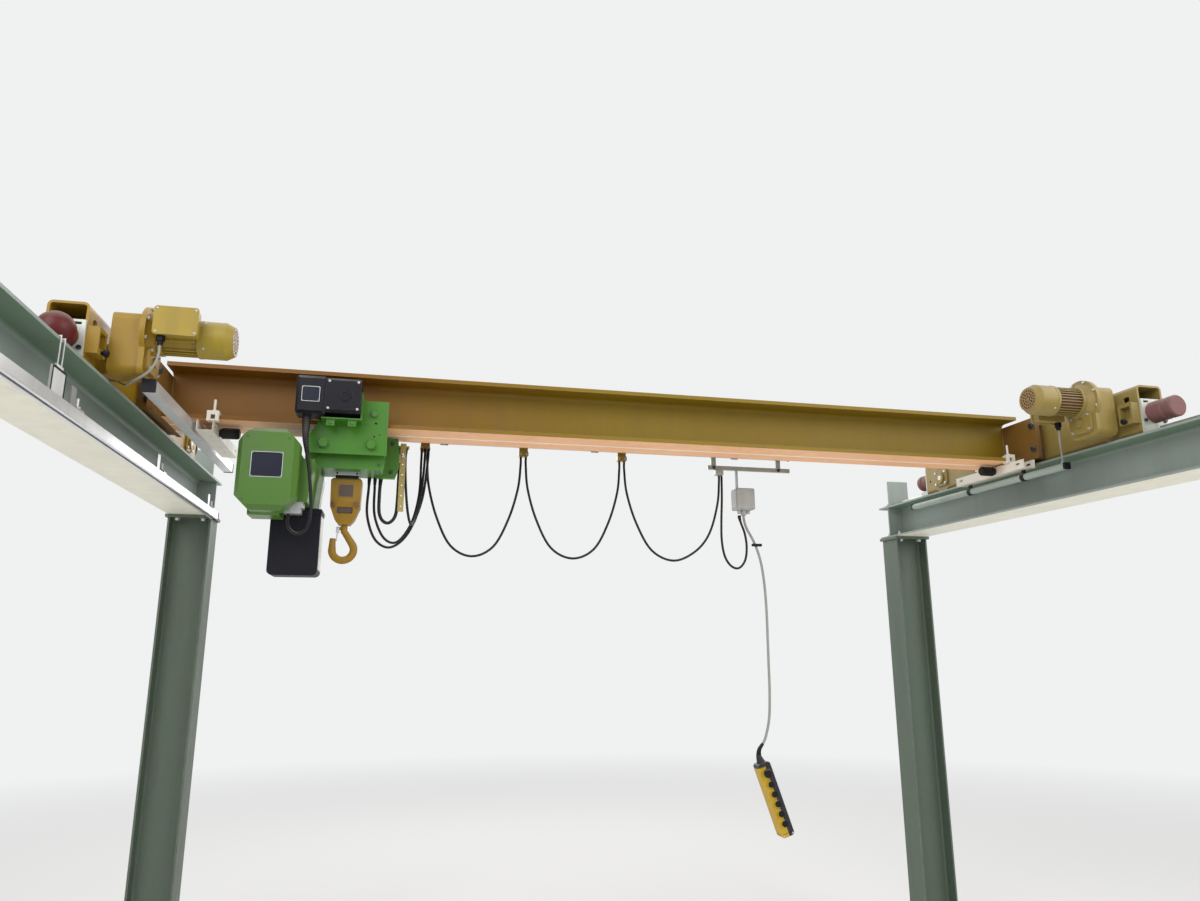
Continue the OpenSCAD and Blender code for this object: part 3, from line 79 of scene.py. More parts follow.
Point = tuple[float, float, float]
MM = 0.001

# Places that part.scad gives in millimetres and this file repeats in metres
CRANE_Y = 1.805
FESTOON_Y = 0.300


class Axis(Enum):
    """The direction in which a piece is turned or stands."""

    PLUS_X = (1, 0, 0)
    MINUS_X = (-1, 0, 0)
    PLUS_Y = (0, 1, 0)
    MINUS_Y = (0, -1, 0)
    PLUS_Z = (0, 0, 1)
    MINUS_Z = (0, 0, -1)

    def turn(self) -> np.ndarray:
        """Works out the turn that takes +Z to this direction and keeps the shape's hand.

        Returns:
            The 3 by 3 matrix.
        """
        z = np.array(self.value, float)
        x = np.array([0.0, 1.0, 0.0]) if abs(z[0]) > 0.5 else np.array([1.0, 0.0, 0.0])
        return np.stack([x, np.cross(z, x), z], axis=1)


@dataclass
class Shape:
    """Points and faces of a surface as whole arrays, in metres, before it becomes a mesh."""

    points: np.ndarray
    quads: np.ndarray
    tris: np.ndarray

    @staticmethod
    def grid(rows: np.ndarray, ring: bool = True, closed: bool = False, capped: bool = True) -> "Shape":
        """Joins a grid of points into a surface.

        Formula: quad (i, j) joins points (i, j), (i, j+1), (i+1, j+1) and (i+1, j), with j taken round
        the ring and, where the grid is closed, i taken round as well. A cap is a fan from the middle of
        the first or last row to that row's points.

        Args:
            rows: array of m rows of n points.
            ring: whether each row closes on itself.
            closed: whether the last row joins the first.
            capped: whether open end rows get a cap.

        Returns:
            The surface.
        """
        m, n = rows.shape[:2]
        i = np.arange(m if closed else m - 1)[:, None]
        j = np.arange(n if ring else n - 1)[None, :]
        below, above = i * n, ((i + 1) % m) * n
        quads = np.stack([below + j, below + (j + 1) % n, above + (j + 1) % n, above + j], axis=-1)
        points = rows.reshape(-1, 3)
        tris = np.zeros((0, 3), int)
        if capped and ring and not closed:
            middles = np.stack([rows[0].mean(axis=0), rows[-1].mean(axis=0)])
            k = np.arange(n)
            low = np.stack([np.full(n, m * n), (k + 1) % n, k], axis=1)
            high = np.stack([np.full(n, m * n + 1), (m - 1) * n + k, (m - 1) * n + (k + 1) % n], axis=1)
            points = np.vstack([points, middles])
            tris = np.vstack([low, high])
        return Shape(points, quads.reshape(-1, 4), tris)

    @staticmethod
    def join(shapes: Sequence["Shape"]) -> "Shape":
        """Puts several shapes into one, each keeping its own points.

        Args:
            shapes: the shapes.

        Returns:
            All of them as one shape.
        """
        starts = np.cumsum([0] + [len(s.points) for s in shapes[:-1]])
        return Shape(
            np.vstack([s.points for s in shapes]),
            np.vstack([s.quads + start for s, start in zip(shapes, starts)]),
            np.vstack([s.tris + start for s, start in zip(shapes, starts)]),
        )

    def at(self, *places: Point, axis: Axis = Axis.PLUS_Z) -> "Shape":
        """Copies the shape to each place, turned so that its +Z lies along an axis.

        Formula: point = turn times point + place, for all points and places at once.

        Args:
            places: where the shape's origin goes, in metres.
            axis: where its +Z goes.

        Returns:
            All copies as one shape.
        """
        origins = np.array(places, float)
        count, size = len(origins), len(self.points)
        points = self.points @ axis.turn().T
        shift = (np.arange(count) * size)[:, None, None]
        return Shape(
            (points[None] + origins[:, None]).reshape(-1, 3),
            (self.quads[None] + shift).reshape(-1, 4),
            (self.tris[None] + shift).reshape(-1, 3),
        )

    def spun(self, angle: float, axis: Axis = Axis.PLUS_Y) -> "Shape":
        """Turns the shape about an axis through the origin, angle in degrees.

        Formula: Rodrigues' turn, p cos a + (k x p) sin a + k (k . p)(1 - cos a).

        Args:
            angle: how far it turns, in degrees.
            axis: what it turns about.

        Returns:
            The turned shape.
        """
        k = np.array(axis.value, float)
        a = math.radians(angle)
        p = self.points
        points = p * math.cos(a) + np.cross(k, p) * math.sin(a) + np.outer(p @ k, k) * (1 - math.cos(a))
        return Shape(points, self.quads, self.tris)

    def piece(self, name: str, finish: "Finish", body: str, smooth: float = 40.0) -> bpy.types.Object:
        """Makes the shape an object that has a finish and, where a body is named, rides on it.

        Args:
            name: the piece's name.
            finish: its finish, whose material slot is logged.
            body: the CAD body that carries it.
            smooth: edges flatter than this angle, in degrees, are shaded smooth.

        Returns:
            The object, with its place in its mesh.
        """
        mesh = bpy.data.meshes.new(name)
        faces = self.quads.tolist() + self.tris.tolist()
        mesh.from_pydata(self.points.tolist(), [], faces)
        work = bmesh.new()
        work.from_mesh(mesh)
        bmesh.ops.remove_doubles(work, verts=work.verts, dist=1e-6)
        bmesh.ops.recalc_face_normals(work, faces=work.faces)
        work.to_mesh(mesh)
        work.free()
        mesh.shade_smooth()
        mesh.set_sharp_from_angle(angle=math.radians(smooth))
        piece = bpy.data.objects.new(name, mesh)
        bpy.context.scene.collection.objects.link(piece)
        piece.data.materials.append(finish.material())
        if body:
            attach(piece, body)
        log.info("%s on %s: %d faces, %s", name, body or "two bodies", len(mesh.polygons), finish.slot)
        return piece


def turned(profile: Sequence[tuple[float, float]], sides: int = 24) -> Shape:
    """Turns a profile about Z.

    Formula: point(k, j) = (r cos a, r sin a, z), with (r, z) the profile's point j and a = 2 pi k / sides.

    Args:
        profile: pairs of radius and height, in metres, from one end to the other.
        sides: how many steps round.

    Returns:
        The closed surface.
    """
    r, z = np.array(profile, float).T
    a = np.linspace(0, 2 * math.pi, sides, endpoint=False)
    rows = np.stack([np.outer(r, np.cos(a)), np.outer(r, np.sin(a)), np.outer(z, np.ones(sides))], axis=-1)
    return Shape.grid(rows)


def slab(outline: np.ndarray, depth: float, edge: float = 0.001) -> Shape:
    """Raises an outline into a slab whose edges are broken.

    Formula: four rows of the outline at heights 0, edge, depth - edge and depth, the outer two drawn in
    towards the outline's middle by the edge.

    Args:
        outline: points in the XY plane, in metres, in order.
        depth: height along Z.
        edge: width of the broken edge.

    Returns:
        The closed surface, from z = 0 up.
    """
    middle = outline.mean(axis=0)
    away = outline - middle
    reach = np.linalg.norm(away, axis=1, keepdims=True)
    inner = middle + away * (1 - edge / reach)
    rings = [(inner, 0), (outline, edge), (outline, depth - edge), (inner, depth)]
    rows = np.stack([np.column_stack([ring, np.full(len(ring), z)]) for ring, z in rings])
    return Shape.grid(rows)


def rounded(width: float, height: float, radius: float, steps: int = 5) -> np.ndarray:
    """Outline of a rectangle with round corners, centred on the origin.

    Formula: each corner's centre plus radius times (cos a, sin a), a running a quarter turn.

    Args:
        width: size along X.
        height: size along Y.
        radius: corner radius.
        steps: points in each corner, less one.

    Returns:
        The points in order.
    """
    a = np.linspace(0, math.pi / 2, steps + 1)[None, :] + np.arange(4)[:, None] * math.pi / 2
    cx = np.array([1, -1, -1, 1])[:, None] * (width / 2 - radius)
    cy = np.array([1, 1, -1, -1])[:, None] * (height / 2 - radius)
    return np.stack([cx + radius * np.cos(a), cy + radius * np.sin(a)], axis=-1).reshape(-1, 2)


def smooth_route(route: Sequence[Point], steps: int) -> np.ndarray:
    """Runs a smooth line through a route's points.

    Formula: between points p1 and p2, with p0 and p3 beyond them, half of 2 p1 + (p2 - p0) t
    + (2 p0 - 5 p1 + 4 p2 - p3) t^2 + (3 p1 - p0 - 3 p2 + p3) t^3, for t from 0 to 1.

    Args:
        route: the points, in metres.
        steps: how many steps between two points.

    Returns:
        The line's points.
    """
    p = np.array(route, float)
    p0, p1, p2 = np.vstack([p[:1], p[:-2]]), p[:-1], p[1:]
    p3 = np.vstack([p[2:], p[-1:]])
    t = (np.arange(steps) / steps)[None, :, None]
    p0, p1, p2, p3 = (q[:, None] for q in (p0, p1, p2, p3))
    line = 0.5 * (2 * p1 + (p2 - p0) * t + (2 * p0 - 5 * p1 + 4 * p2 - p3) * t**2
                  + (3 * p1 - p0 - 3 * p2 + p3) * t**3)
    return np.vstack([line.reshape(-1, 3), p[-1:]])


def distances(line: np.ndarray) -> np.ndarray:
    """Returns how far along a line each of its points lies."""
    return np.concatenate([[0.0], np.cumsum(np.linalg.norm(np.diff(line, axis=0), axis=1))])


def stretch_of(line: np.ndarray, start: float, end: float, count: int) -> np.ndarray:
    """Cuts a stretch out of a line.

    Formula: points at equal distances from start to end, each found on the straight step between the two
    points of the line that lie round it.

    Args:
        line: points of the line, in metres.
        start: distance along it where the stretch begins.
        end: distance along it where the stretch ends.
        count: how many points.

    Returns:
        The stretch's points.
    """
    far = distances(line)
    at = np.linspace(start, end, count)
    return np.stack([np.interp(at, far, line[:, k]) for k in range(3)], axis=1)


def swept(line: np.ndarray, diameter: float | np.ndarray, sides: int = 12) -> Shape:
    """Carries a round section along a line.

    Formula: point(i, k) = line(i) + r(i) (n cos a + b sin a), with n and b across the line's direction, n as
    near as can be to the direction in which the line's own plane faces.

    Args:
        line: points of the line, in metres.
        diameter: the section's diameter, the same all along or one for each point.
        sides: points round it.

    Returns:
        The closed tube.
    """
    along = np.gradient(line, axis=0)
    along /= np.linalg.norm(along, axis=1, keepdims=True)
    flat = np.linalg.svd(line - line.mean(axis=0))[2][2]
    across = np.cross(along, flat)
    across /= np.linalg.norm(across, axis=1, keepdims=True)
    up = np.cross(along, across)
    a = np.linspace(0, 2 * math.pi, sides, endpoint=False)[None, :, None]
    r = np.broadcast_to(np.asarray(diameter, float), len(line))[:, None, None] / 2
    return Shape.grid(line[:, None] + r * (across[:, None] * np.cos(a) + up[:, None] * np.sin(a)))


def bead(start: Point, end: Point, width: float) -> Shape:
    """Lays a weld bead in a corner.

    Formula: a tube along the straight line from start to end whose diameter is the width times 1 plus
    14 hundredths of the cosine of each drop, drawn in at both ends.

    Args:
        start: one end of the corner, in metres.
        end: the other end.
        width: the bead's width.

    Returns:
        The closed bead.
    """
    a, b = np.array(start, float), np.array(end, float)
    drops = max(int(np.linalg.norm(b - a) / width), 3)
    t = np.linspace(0, 1, 2 * drops + 1)
    swell = width * (1 + 0.14 * np.cos(2 * math.pi * drops * t))
    swell[[0, -1]] *= 0.5
    return swept(a + (b - a) * t[:, None], swell, 8)


def border(width: float, height: float, radius: float, band: float, depth: float) -> Shape:
    """Raises a band along the rim of a rectangle with round corners.

    Formula: four rings, outer low, outer high, inner high and inner low, the last joined to the first.

    Args:
        width: outer size along X.
        height: outer size along Y.
        radius: outer corner radius.
        band: width of the band.
        depth: its height along Z.

    Returns:
        The closed band, from z = 0 up.
    """
    outer = rounded(width, height, radius)
    inner = rounded(width - 2 * band, height - 2 * band, max(radius - band, 0.0004))
    rings = [(outer, 0), (outer, depth), (inner, depth), (inner, 0)]
    rows = np.stack([np.column_stack([ring, np.full(len(ring), z)]) for ring, z in rings])
    return Shape.grid(rows, closed=True)


def fan(radius: float, hub: float, blades: int) -> Shape:
    """Shapes a cooling fan as one surface over a disc.

    Formula: height = 3 mm + 9 mm times the square wave of the blade angle, softened at its sides, between the
    hub's radius and 94 hundredths of the outer radius, over a flat back.

    Args:
        radius: outer radius, in metres.
        hub: radius of the hub.
        blades: number of blades.

    Returns:
        The closed surface, from z = 0 up.
    """
    r = np.concatenate([[0.004, hub * 0.98, hub], np.linspace(hub * 1.02, radius * 0.94, 4), [radius]])
    a = np.linspace(0, 2 * math.pi, blades * 12, endpoint=False)
    wave = np.clip(np.sin(blades * a) * 4 - 2.2, 0, 1)
    share = np.array([0, 0, 0, 1, 1, 1, 1, 0], float)[:, None]
    z = 0.003 + 0.009 * share * wave[None, :]
    z[:2] = 0.012
    top = np.stack([np.outer(r, np.cos(a)), np.outer(r, np.sin(a)), z], axis=-1)
    low = np.stack([radius * np.cos(a), radius * np.sin(a), np.zeros_like(a)], axis=-1)
    return Shape.grid(np.concatenate([top, low[None]]))


def chain_link(pitch: float, width: float, wire: float) -> Shape:
    """Bends round wire into one link that stands along Z, centred on the origin.

    Formula: the wire's middle line is two half circles of radius (width - wire) / 2 joined by straight runs,
    pitch + wire high in all. Point(i, k) = line(i) + wire / 2 (n cos a + b sin a), n being the line's outward
    direction in XZ and b the Y axis.

    Args:
        pitch: inner length, in metres.
        width: outer width.
        wire: diameter of the wire.

    Returns:
        The closed link.
    """
    bend = (width - wire) / 2
    half = (pitch + wire) / 2 - bend
    a = np.linspace(0, math.pi, 9)
    turn = np.concatenate([a, a + math.pi])
    out = np.stack([np.cos(turn), np.zeros_like(turn), np.sin(turn)], axis=1)
    line = bend * out + np.outer(np.repeat([half, -half], len(a)), [0, 0, 1])
    k = np.linspace(0, 2 * math.pi, 8, endpoint=False)[None, :, None]
    rows = line[:, None] + wire / 2 * (out[:, None] * np.cos(k) + np.array([0.0, 1.0, 0.0]) * np.sin(k))
    return Shape.grid(rows, closed=True)


def spots(xs: Sequence[float], ys: Sequence[float], zs: Sequence[float]) -> list[Point]:
    """Returns every place that combines one x, one y and one z."""
    return [(x, y, z) for x in xs for y in ys for z in zs]


def both_ends(shape: Shape, places: Sequence[Point], inward: bool = True) -> Shape:
    """Copies a shape to places on the right of the crane and, mirrored in X, on the left.

    Args:
        shape: stands along +Z.
        places: the places on the right.
        inward: whether it looks towards the middle of the crane, or away from it.

    Returns:
        All copies as one shape.
    """
    right, left = (Axis.MINUS_X, Axis.PLUS_X) if inward else (Axis.PLUS_X, Axis.MINUS_X)
    mirrored = [(-x, y, z) for x, y, z in places]
    return Shape.join([shape.at(*places, axis=right), shape.at(*mirrored, axis=left)])


class Bolt(Enum):
    """Screw sizes: width across flats, head height, washer diameter and washer thickness, in metres."""

    M5 = (0.008, 0.0035, 0.010, 0.001)
    M6 = (0.010, 0.004, 0.012, 0.0016)
    M8 = (0.013, 0.0053, 0.016, 0.0017)
    M12 = (0.019, 0.0075, 0.024, 0.0025)
    M16 = (0.024, 0.010, 0.030, 0.003)
    M20 = (0.030, 0.0125, 0.037, 0.0032)
    M24 = (0.036, 0.015, 0.044, 0.004)

    def hexagon(self, height: float) -> Shape:
        """Returns a six-sided block whose upper corners are taken off."""
        r = self.value[0] / math.sqrt(3)
        return turned([(r, 0), (r, height * 0.8), (r * 0.87, height)], 6)

    def washer(self) -> Shape:
        """Returns the washer, from z = 0 up."""
        d, t = self.value[2:]
        return turned([(d / 2, 0), (d / 2, t * 0.7), (d / 2 - t * 0.3, t)], 20)

    def head(self) -> Shape:
        """Returns a bolt's head on its washer, from the face that it clamps up."""
        return Shape.join([self.washer(), self.hexagon(self.value[1]).at((0, 0, self.value[3]))])

    def nut(self, stud: float) -> Shape:
        """Puts a nut on its washer, with the bolt's threaded end standing out of it.

        Formula: the thread is a turned profile whose radius is a third of the width across flats, and 93
        hundredths of that on every second row.

        Args:
            stud: height of the bolt's end above the face.

        Returns:
            The shape, from z = 0 up.
        """
        across, _, _, thick = self.value
        z = np.linspace(0, stud, 2 * max(int(stud / (across * 0.1)), 2))
        r = across / 3 * np.where(np.arange(len(z)) % 2, 0.93, 1.0)
        thread = turned(list(zip(r, z)), 12)
        return Shape.join([self.washer(), self.hexagon(across * 0.5).at((0, 0, thick)), thread])

    def dome(self) -> Shape:
        """Turns a low round head with a drive socket, its profile a quarter of an ellipse.

        Returns:
            The head, from z = 0 up.
        """
        r = self.value[0] * 0.55
        a = np.linspace(0, math.pi / 2, 6)[:-1]
        profile = [(r * math.cos(t), r * 0.5 * math.sin(t)) for t in a]
        return turned(profile + [(r * 0.35, r * 0.5), (r * 0.3, r * 0.2)], 16)


class NodeBox:
    """Small helper that adds shader nodes to a tree and links them by name."""

    def __init__(self, tree: bpy.types.NodeTree) -> None:
        """Keeps the tree that nodes go into."""
        self.tree = tree

    def add(self, kind: str, inputs: dict | None = None, **settings: object) -> bpy.types.Node:
        """Adds a node.

        Args:
            kind: Blender's node type.
            inputs: input name or number to a value, or to the output socket that feeds it.
            settings: properties of the node.

        Returns:
            The node.
        """
        node = self.tree.nodes.new(kind)
        for key, value in settings.items():
            setattr(node, key, value)
        for key, value in (inputs or {}).items():
            if isinstance(value, bpy.types.NodeSocket):
                self.tree.links.new(value, node.inputs[key])
            else:
                node.inputs[key].default_value = value
        return node

    def maths(self, operation: str, a: object, b: object = 0.0, clamp: bool = False) -> bpy.types.NodeSocket:
        """Adds a Math node and returns its output."""
        return self.add("ShaderNodeMath", {0: a, 1: b}, operation=operation, use_clamp=clamp).outputs[0]

    def blend(self, share: object, a: object, b: object, mode: str = "MIX") -> bpy.types.NodeSocket:
        """Adds a colour Mix node.

        Args:
            share: how much of the second colour shows, a number or a socket.
            a: the first colour, or its socket.
            b: the second colour, or its socket.
            mode: how the two are mixed.

        Returns:
            The mixed colour.
        """
        node = self.add("ShaderNodeMix", data_type="RGBA", blend_type=mode)
        for key, value in ((0, share), (6, a), (7, b)):
            if isinstance(value, bpy.types.NodeSocket):
                self.tree.links.new(value, node.inputs[key])
            else:
                node.inputs[key].default_value = value
        return node.outputs[2]

    def span(self, value: object, low: float, high: float,
             to: tuple[float, float] = (0, 1)) -> bpy.types.NodeSocket:
        """Adds a Map Range node that takes low..high to a new range, and returns its result."""
        return self.add("ShaderNodeMapRange", {0: value, 1: low, 2: high, 3: to[0], 4: to[1]}).outputs[0]


def colour4(rgb: Sequence[float]) -> tuple[float, float, float, float]:
    """Gives a colour its alpha of one."""
    return (rgb[0], rgb[1], rgb[2], 1.0)


def weathering() -> bpy.types.NodeTree:
    """Builds, once, the shader group for a used surface.

    It mottles a colour with two noises, darkens it in streaks, lays dust on faces that look up and shows a
    second colour where an edge is worn: the mask of an edge is 1 less the dot product of the face's normal
    and the normal of the rounded edge.

    Returns:
        The node group, with inputs Colour, Bare, Dust, Mottle, Scale, Wear, Settled, Grime and Rough, and
        outputs Colour, Roughness and Height.
    """
    name = "weathering"
    if name in bpy.data.node_groups:
        return bpy.data.node_groups[name]
    tree = bpy.data.node_groups.new(name, "ShaderNodeTree")
    for label, kind in (("Colour", "Color"), ("Bare", "Color"), ("Dust", "Color"), ("Mottle", "Float"),
                        ("Scale", "Float"), ("Wear", "Float"), ("Settled", "Float"), ("Grime", "Float"),
                        ("Rough", "Float")):
        tree.interface.new_socket(label, in_out="INPUT", socket_type=f"NodeSocket{kind}")
    for label, kind in (("Colour", "Color"), ("Roughness", "Float"), ("Height", "Float")):
        tree.interface.new_socket(label, in_out="OUTPUT", socket_type=f"NodeSocket{kind}")
    box = NodeBox(tree)
    given = box.add("NodeGroupInput").outputs
    place = box.add("ShaderNodeTexCoord").outputs["Object"]
    broad = box.add("ShaderNodeTexNoise", {"Vector": place, "Scale": given["Scale"], "Detail": 4.0,
                                           "Roughness": 0.6})
    fine_scale = box.maths("MULTIPLY", given["Scale"], 11.0)
    fine = box.add("ShaderNodeTexNoise", {"Vector": place, "Scale": fine_scale, "Detail": 3.0,
                                          "Roughness": 0.6})
    # Colour that drifts lighter and darker
    drift = box.maths("MULTIPLY", box.maths("SUBTRACT", broad.outputs[0], 0.5), given["Mottle"])
    lighter = box.maths("ADD", 1.0, drift)
    lit = box.add("ShaderNodeHueSaturation", {"Color": given["Colour"], "Value": lighter}).outputs[0]
    # Grime that gathers in patches and runs down
    stretch = box.add("ShaderNodeMapping", {"Vector": place, "Scale": (9.0, 9.0, 1.2)}).outputs[0]
    runs = box.add("ShaderNodeTexNoise", {"Vector": stretch, "Scale": 1.6, "Detail": 5.0, "Roughness": 0.65})
    patch = box.span(box.maths("MULTIPLY", runs.outputs[0], broad.outputs[0]), 0.22, 0.42)
    dirt = box.maths("MULTIPLY", patch, given["Grime"])
    soiled = box.blend(dirt, lit, (0.09, 0.075, 0.06, 1.0))
    # Dust where the face looks up
    normal = box.add("ShaderNodeNewGeometry").outputs["Normal"]
    up = box.add("ShaderNodeSeparateXYZ", {0: normal}).outputs["Z"]
    lying = box.maths("MULTIPLY", box.span(up, 0.35, 0.95), box.span(broad.outputs[0], 0.3, 0.62))
    dusty = box.blend(box.maths("MULTIPLY", lying, given["Settled"]), soiled, given["Dust"])
    # Paint worn through along edges
    rim = box.add("ShaderNodeBevel", {"Radius": 0.004}, samples=4).outputs[0]
    flat = box.add("ShaderNodeVectorMath", {0: rim, 1: normal}, operation="DOT_PRODUCT").outputs["Value"]
    edge = box.span(box.maths("SUBTRACT", 1.0, flat), 0.03, 0.16)
    chipped = box.maths("MULTIPLY", edge, box.span(fine.outputs[0], 0.42, 0.62))
    worn = box.maths("MULTIPLY", chipped, given["Wear"], clamp=True)
    shown = box.blend(worn, dusty, given["Bare"])
    speckle = box.maths("MULTIPLY", box.maths("SUBTRACT", fine.outputs[0], 0.5), 0.2)
    rough = box.maths("ADD", given["Rough"], speckle)
    rough = box.maths("ADD", rough, box.maths("MULTIPLY", dirt, 0.2), clamp=True)
    height = box.maths("SUBTRACT", fine.outputs[0], box.maths("MULTIPLY", worn, 0.6))
    box.add("NodeGroupOutput", {"Colour": shown, "Roughness": rough, "Height": height})
    return tree


# Depth of a finish's grain in metres, roughness of its clear coat, and half the soft edge of a split

BUMP_DEPTH = 0.002
COAT_ROUGH = 0.25
SPLIT_EDGE = 0.0006


@dataclass(frozen=True)
class Finish:
    """A painted, plated, moulded or cast surface and how it has aged."""

    slot: str
    colour: Point
    rough: float = 0.5
    metal: float = 0.0
    bare: Point = (0.32, 0.30, 0.28)
    dust: Point = (0.60, 0.57, 0.50)
    mottle: float = 0.35
    scale: float = 3.0
    wear: float = 0.5
    settled: float = 0.35
    grime: float = 0.3
    grain: float = 0.06
    coat: float = 0.0
    shine: float = 0.35
    name: str = ""

    def material(self) -> bpy.types.Material:
        """Gives the finish's material, and builds it the first time.

        Returns:
            The material.
        """
        title = self.name or self.slot
        if title in bpy.data.materials and bpy.data.materials[title].get("made_here"):
            return bpy.data.materials[title]
        material = bpy.data.materials.new(title)
        material["made_here"] = True
        material.use_nodes = True
        tree = material.node_tree
        tree.nodes.clear()
        box = NodeBox(tree)
        paint = self.paint(box)
        used = box.add("ShaderNodeGroup", node_tree=weathering())
        values = {"Bare": colour4(self.bare), "Dust": colour4(self.dust), "Mottle": self.mottle,
                  "Scale": self.scale, "Wear": self.wear, "Settled": self.settled, "Grime": self.grime,
                  "Rough": self.rough}
        for key, value in values.items():
            used.inputs[key].default_value = value
        if isinstance(paint, bpy.types.NodeSocket):
            tree.links.new(paint, used.inputs["Colour"])
        else:
            used.inputs["Colour"].default_value = paint
        bump = box.add("ShaderNodeBump", {"Height": used.outputs["Height"], "Strength": self.grain,
                                          "Distance": BUMP_DEPTH})
        surface = box.add("ShaderNodeBsdfPrincipled", {
            "Base Color": used.outputs["Colour"], "Roughness": used.outputs["Roughness"],
            "Metallic": self.metal, "Normal": bump.outputs[0], "Coat Weight": self.coat,
            "Coat Roughness": COAT_ROUGH, "Specular IOR Level": self.shine})
        box.add("ShaderNodeOutputMaterial", {"Surface": surface.outputs[0]})
        return material

    def paint(self, box: NodeBox) -> object:
        """Returns the colour below the weathering, as a value or a socket."""
        return colour4(self.colour)


def looks_down(box: NodeBox) -> bpy.types.NodeSocket:
    """Returns the share, from 0 to 1, by which a face looks down."""
    normal = box.add("ShaderNodeNewGeometry").outputs["Normal"]
    return box.span(box.add("ShaderNodeSeparateXYZ", {0: normal}).outputs["Z"], -0.4, -0.9)


def place_parts(box: NodeBox) -> bpy.types.bpy_prop_collection:
    """Returns the outputs X, Y and Z of the place on the object."""
    place = box.add("ShaderNodeTexCoord").outputs["Object"]
    return box.add("ShaderNodeSeparateXYZ", {0: place}).outputs


@dataclass(frozen=True)
class LitBelow(Finish):
    """Paint with painted shade, a darker colour, on the faces that look down, and painted light, a paler
    colour, on the lowest of them.
    """

    # Painted shade on the faces that look down, and painted light on the lowest of them, below the limit
    shade: Point = (0.19, 0.28, 0.20)
    lit_underside: Point = (0.60, 0.58, 0.48)
    limit: float = 2.25

    def paint(self, box: NodeBox) -> bpy.types.NodeSocket:
        """Mixes in the painted shade on a face that looks down, by its normal, and the painted light below a
        height.

        Args:
            box: the material's nodes.

        Returns:
            The colour.
        """
        # Painted light below the limit, painted shade above it, on faces that look down
        low = box.span(place_parts(box)["Z"], self.limit + 0.003, self.limit)
        below = box.blend(low, colour4(self.shade), colour4(self.lit_underside))
        return box.blend(looks_down(box), colour4(self.colour), below)


@dataclass(frozen=True)
class GirderPaint(Finish):
    """Ochre that turns a darker orange-brown towards the ends, partly its own tone and partly painted shade,
    with painted light on the lowest faces that look down and one painted highlight line along them.
    """

    # End colour partly the paint's own orange-brown and partly painted shade; then painted light under the
    # bottom flange and a painted highlight line along it
    ends: Point = (0.205, 0.085, 0.004)
    lit_underside: Point = (0.93, 0.50, 0.25)
    line: Point = (0.98, 0.86, 0.72)
    highlight_half: float = 0.006
    middle: float = 0.80
    reach: float = 2.1
    lowest: float = 2.453

    def paint(self, box: NodeBox) -> bpy.types.NodeSocket:
        """Mixes the colours by the distance from the middle, and the painted light below by the normal and
        the height.

        Formula: the share of the end colour rises from 0 to 1 as the distance from the middle goes from 45
        hundredths to the whole of the reach. The line is where Y is within half its width of the axis.

        Args:
            box: the material's nodes.

        Returns:
            The colour.
        """
        parts = place_parts(box)
        off = box.maths("ABSOLUTE", box.maths("SUBTRACT", parts["X"], self.middle))
        # Share of the end colour, which is partly painted shade
        share = box.span(off, self.reach * 0.45, self.reach)
        along = box.blend(share, colour4(self.colour), colour4(self.ends))
        # Painted highlight line along the middle of the painted light under the bottom flange
        aside = box.maths("ABSOLUTE", box.maths("SUBTRACT", parts["Y"], CRANE_Y + 0.012))
        highlight_strip = box.span(aside, self.highlight_half * 1.5, self.highlight_half)
        below = box.blend(highlight_strip, colour4(self.lit_underside), colour4(self.line))
        low = box.span(parts["Z"], self.lowest + 0.003, self.lowest)
        return box.blend(box.maths("MULTIPLY", looks_down(box), low), along, below)


@dataclass(frozen=True)
class EndPaint(Finish):
    """Yellow of the end carriages' parts: golden on the left, paler on the right."""

    right: Point = (0.31, 0.225, 0.06)
    between: Point = (0.16, 0.065, 0.035)
    brown: tuple[float, float] = (0.25, 0.9)
    fin_foot: float = 0.0
    axis_y: float = CRANE_Y - 0.595
    axis_z: float = 2.597

    def paint(self, box: NodeBox) -> bpy.types.NodeSocket:
        """Mixes the two yellows by the side, and a brown where a fin's foot is near the drive's axis.

        Formula: distance = square root of (y - axis y)^2 + (z - axis z)^2, and brown where that is less than
        the fin's foot.

        Args:
            box: the material's nodes.

        Returns:
            The colour.
        """
        parts = place_parts(box)
        side = box.span(parts["X"], -0.1, 0.1)
        tone = box.blend(side, colour4(self.colour), colour4(self.right))
        if not self.fin_foot:
            return tone
        y = box.maths("POWER", box.maths("ABSOLUTE", box.maths("SUBTRACT", parts["Y"], self.axis_y)), 2.0)
        z = box.maths("POWER", box.maths("ABSOLUTE", box.maths("SUBTRACT", parts["Z"], self.axis_z)), 2.0)
        far = box.maths("SQRT", box.maths("ADD", y, z))
        near = box.span(far, self.fin_foot + 0.002, self.fin_foot)
        share = box.maths("MULTIPLY", near, box.span(parts["X"], -0.1, 0.1, to=self.brown))
        return box.blend(share, tone, colour4(self.between))


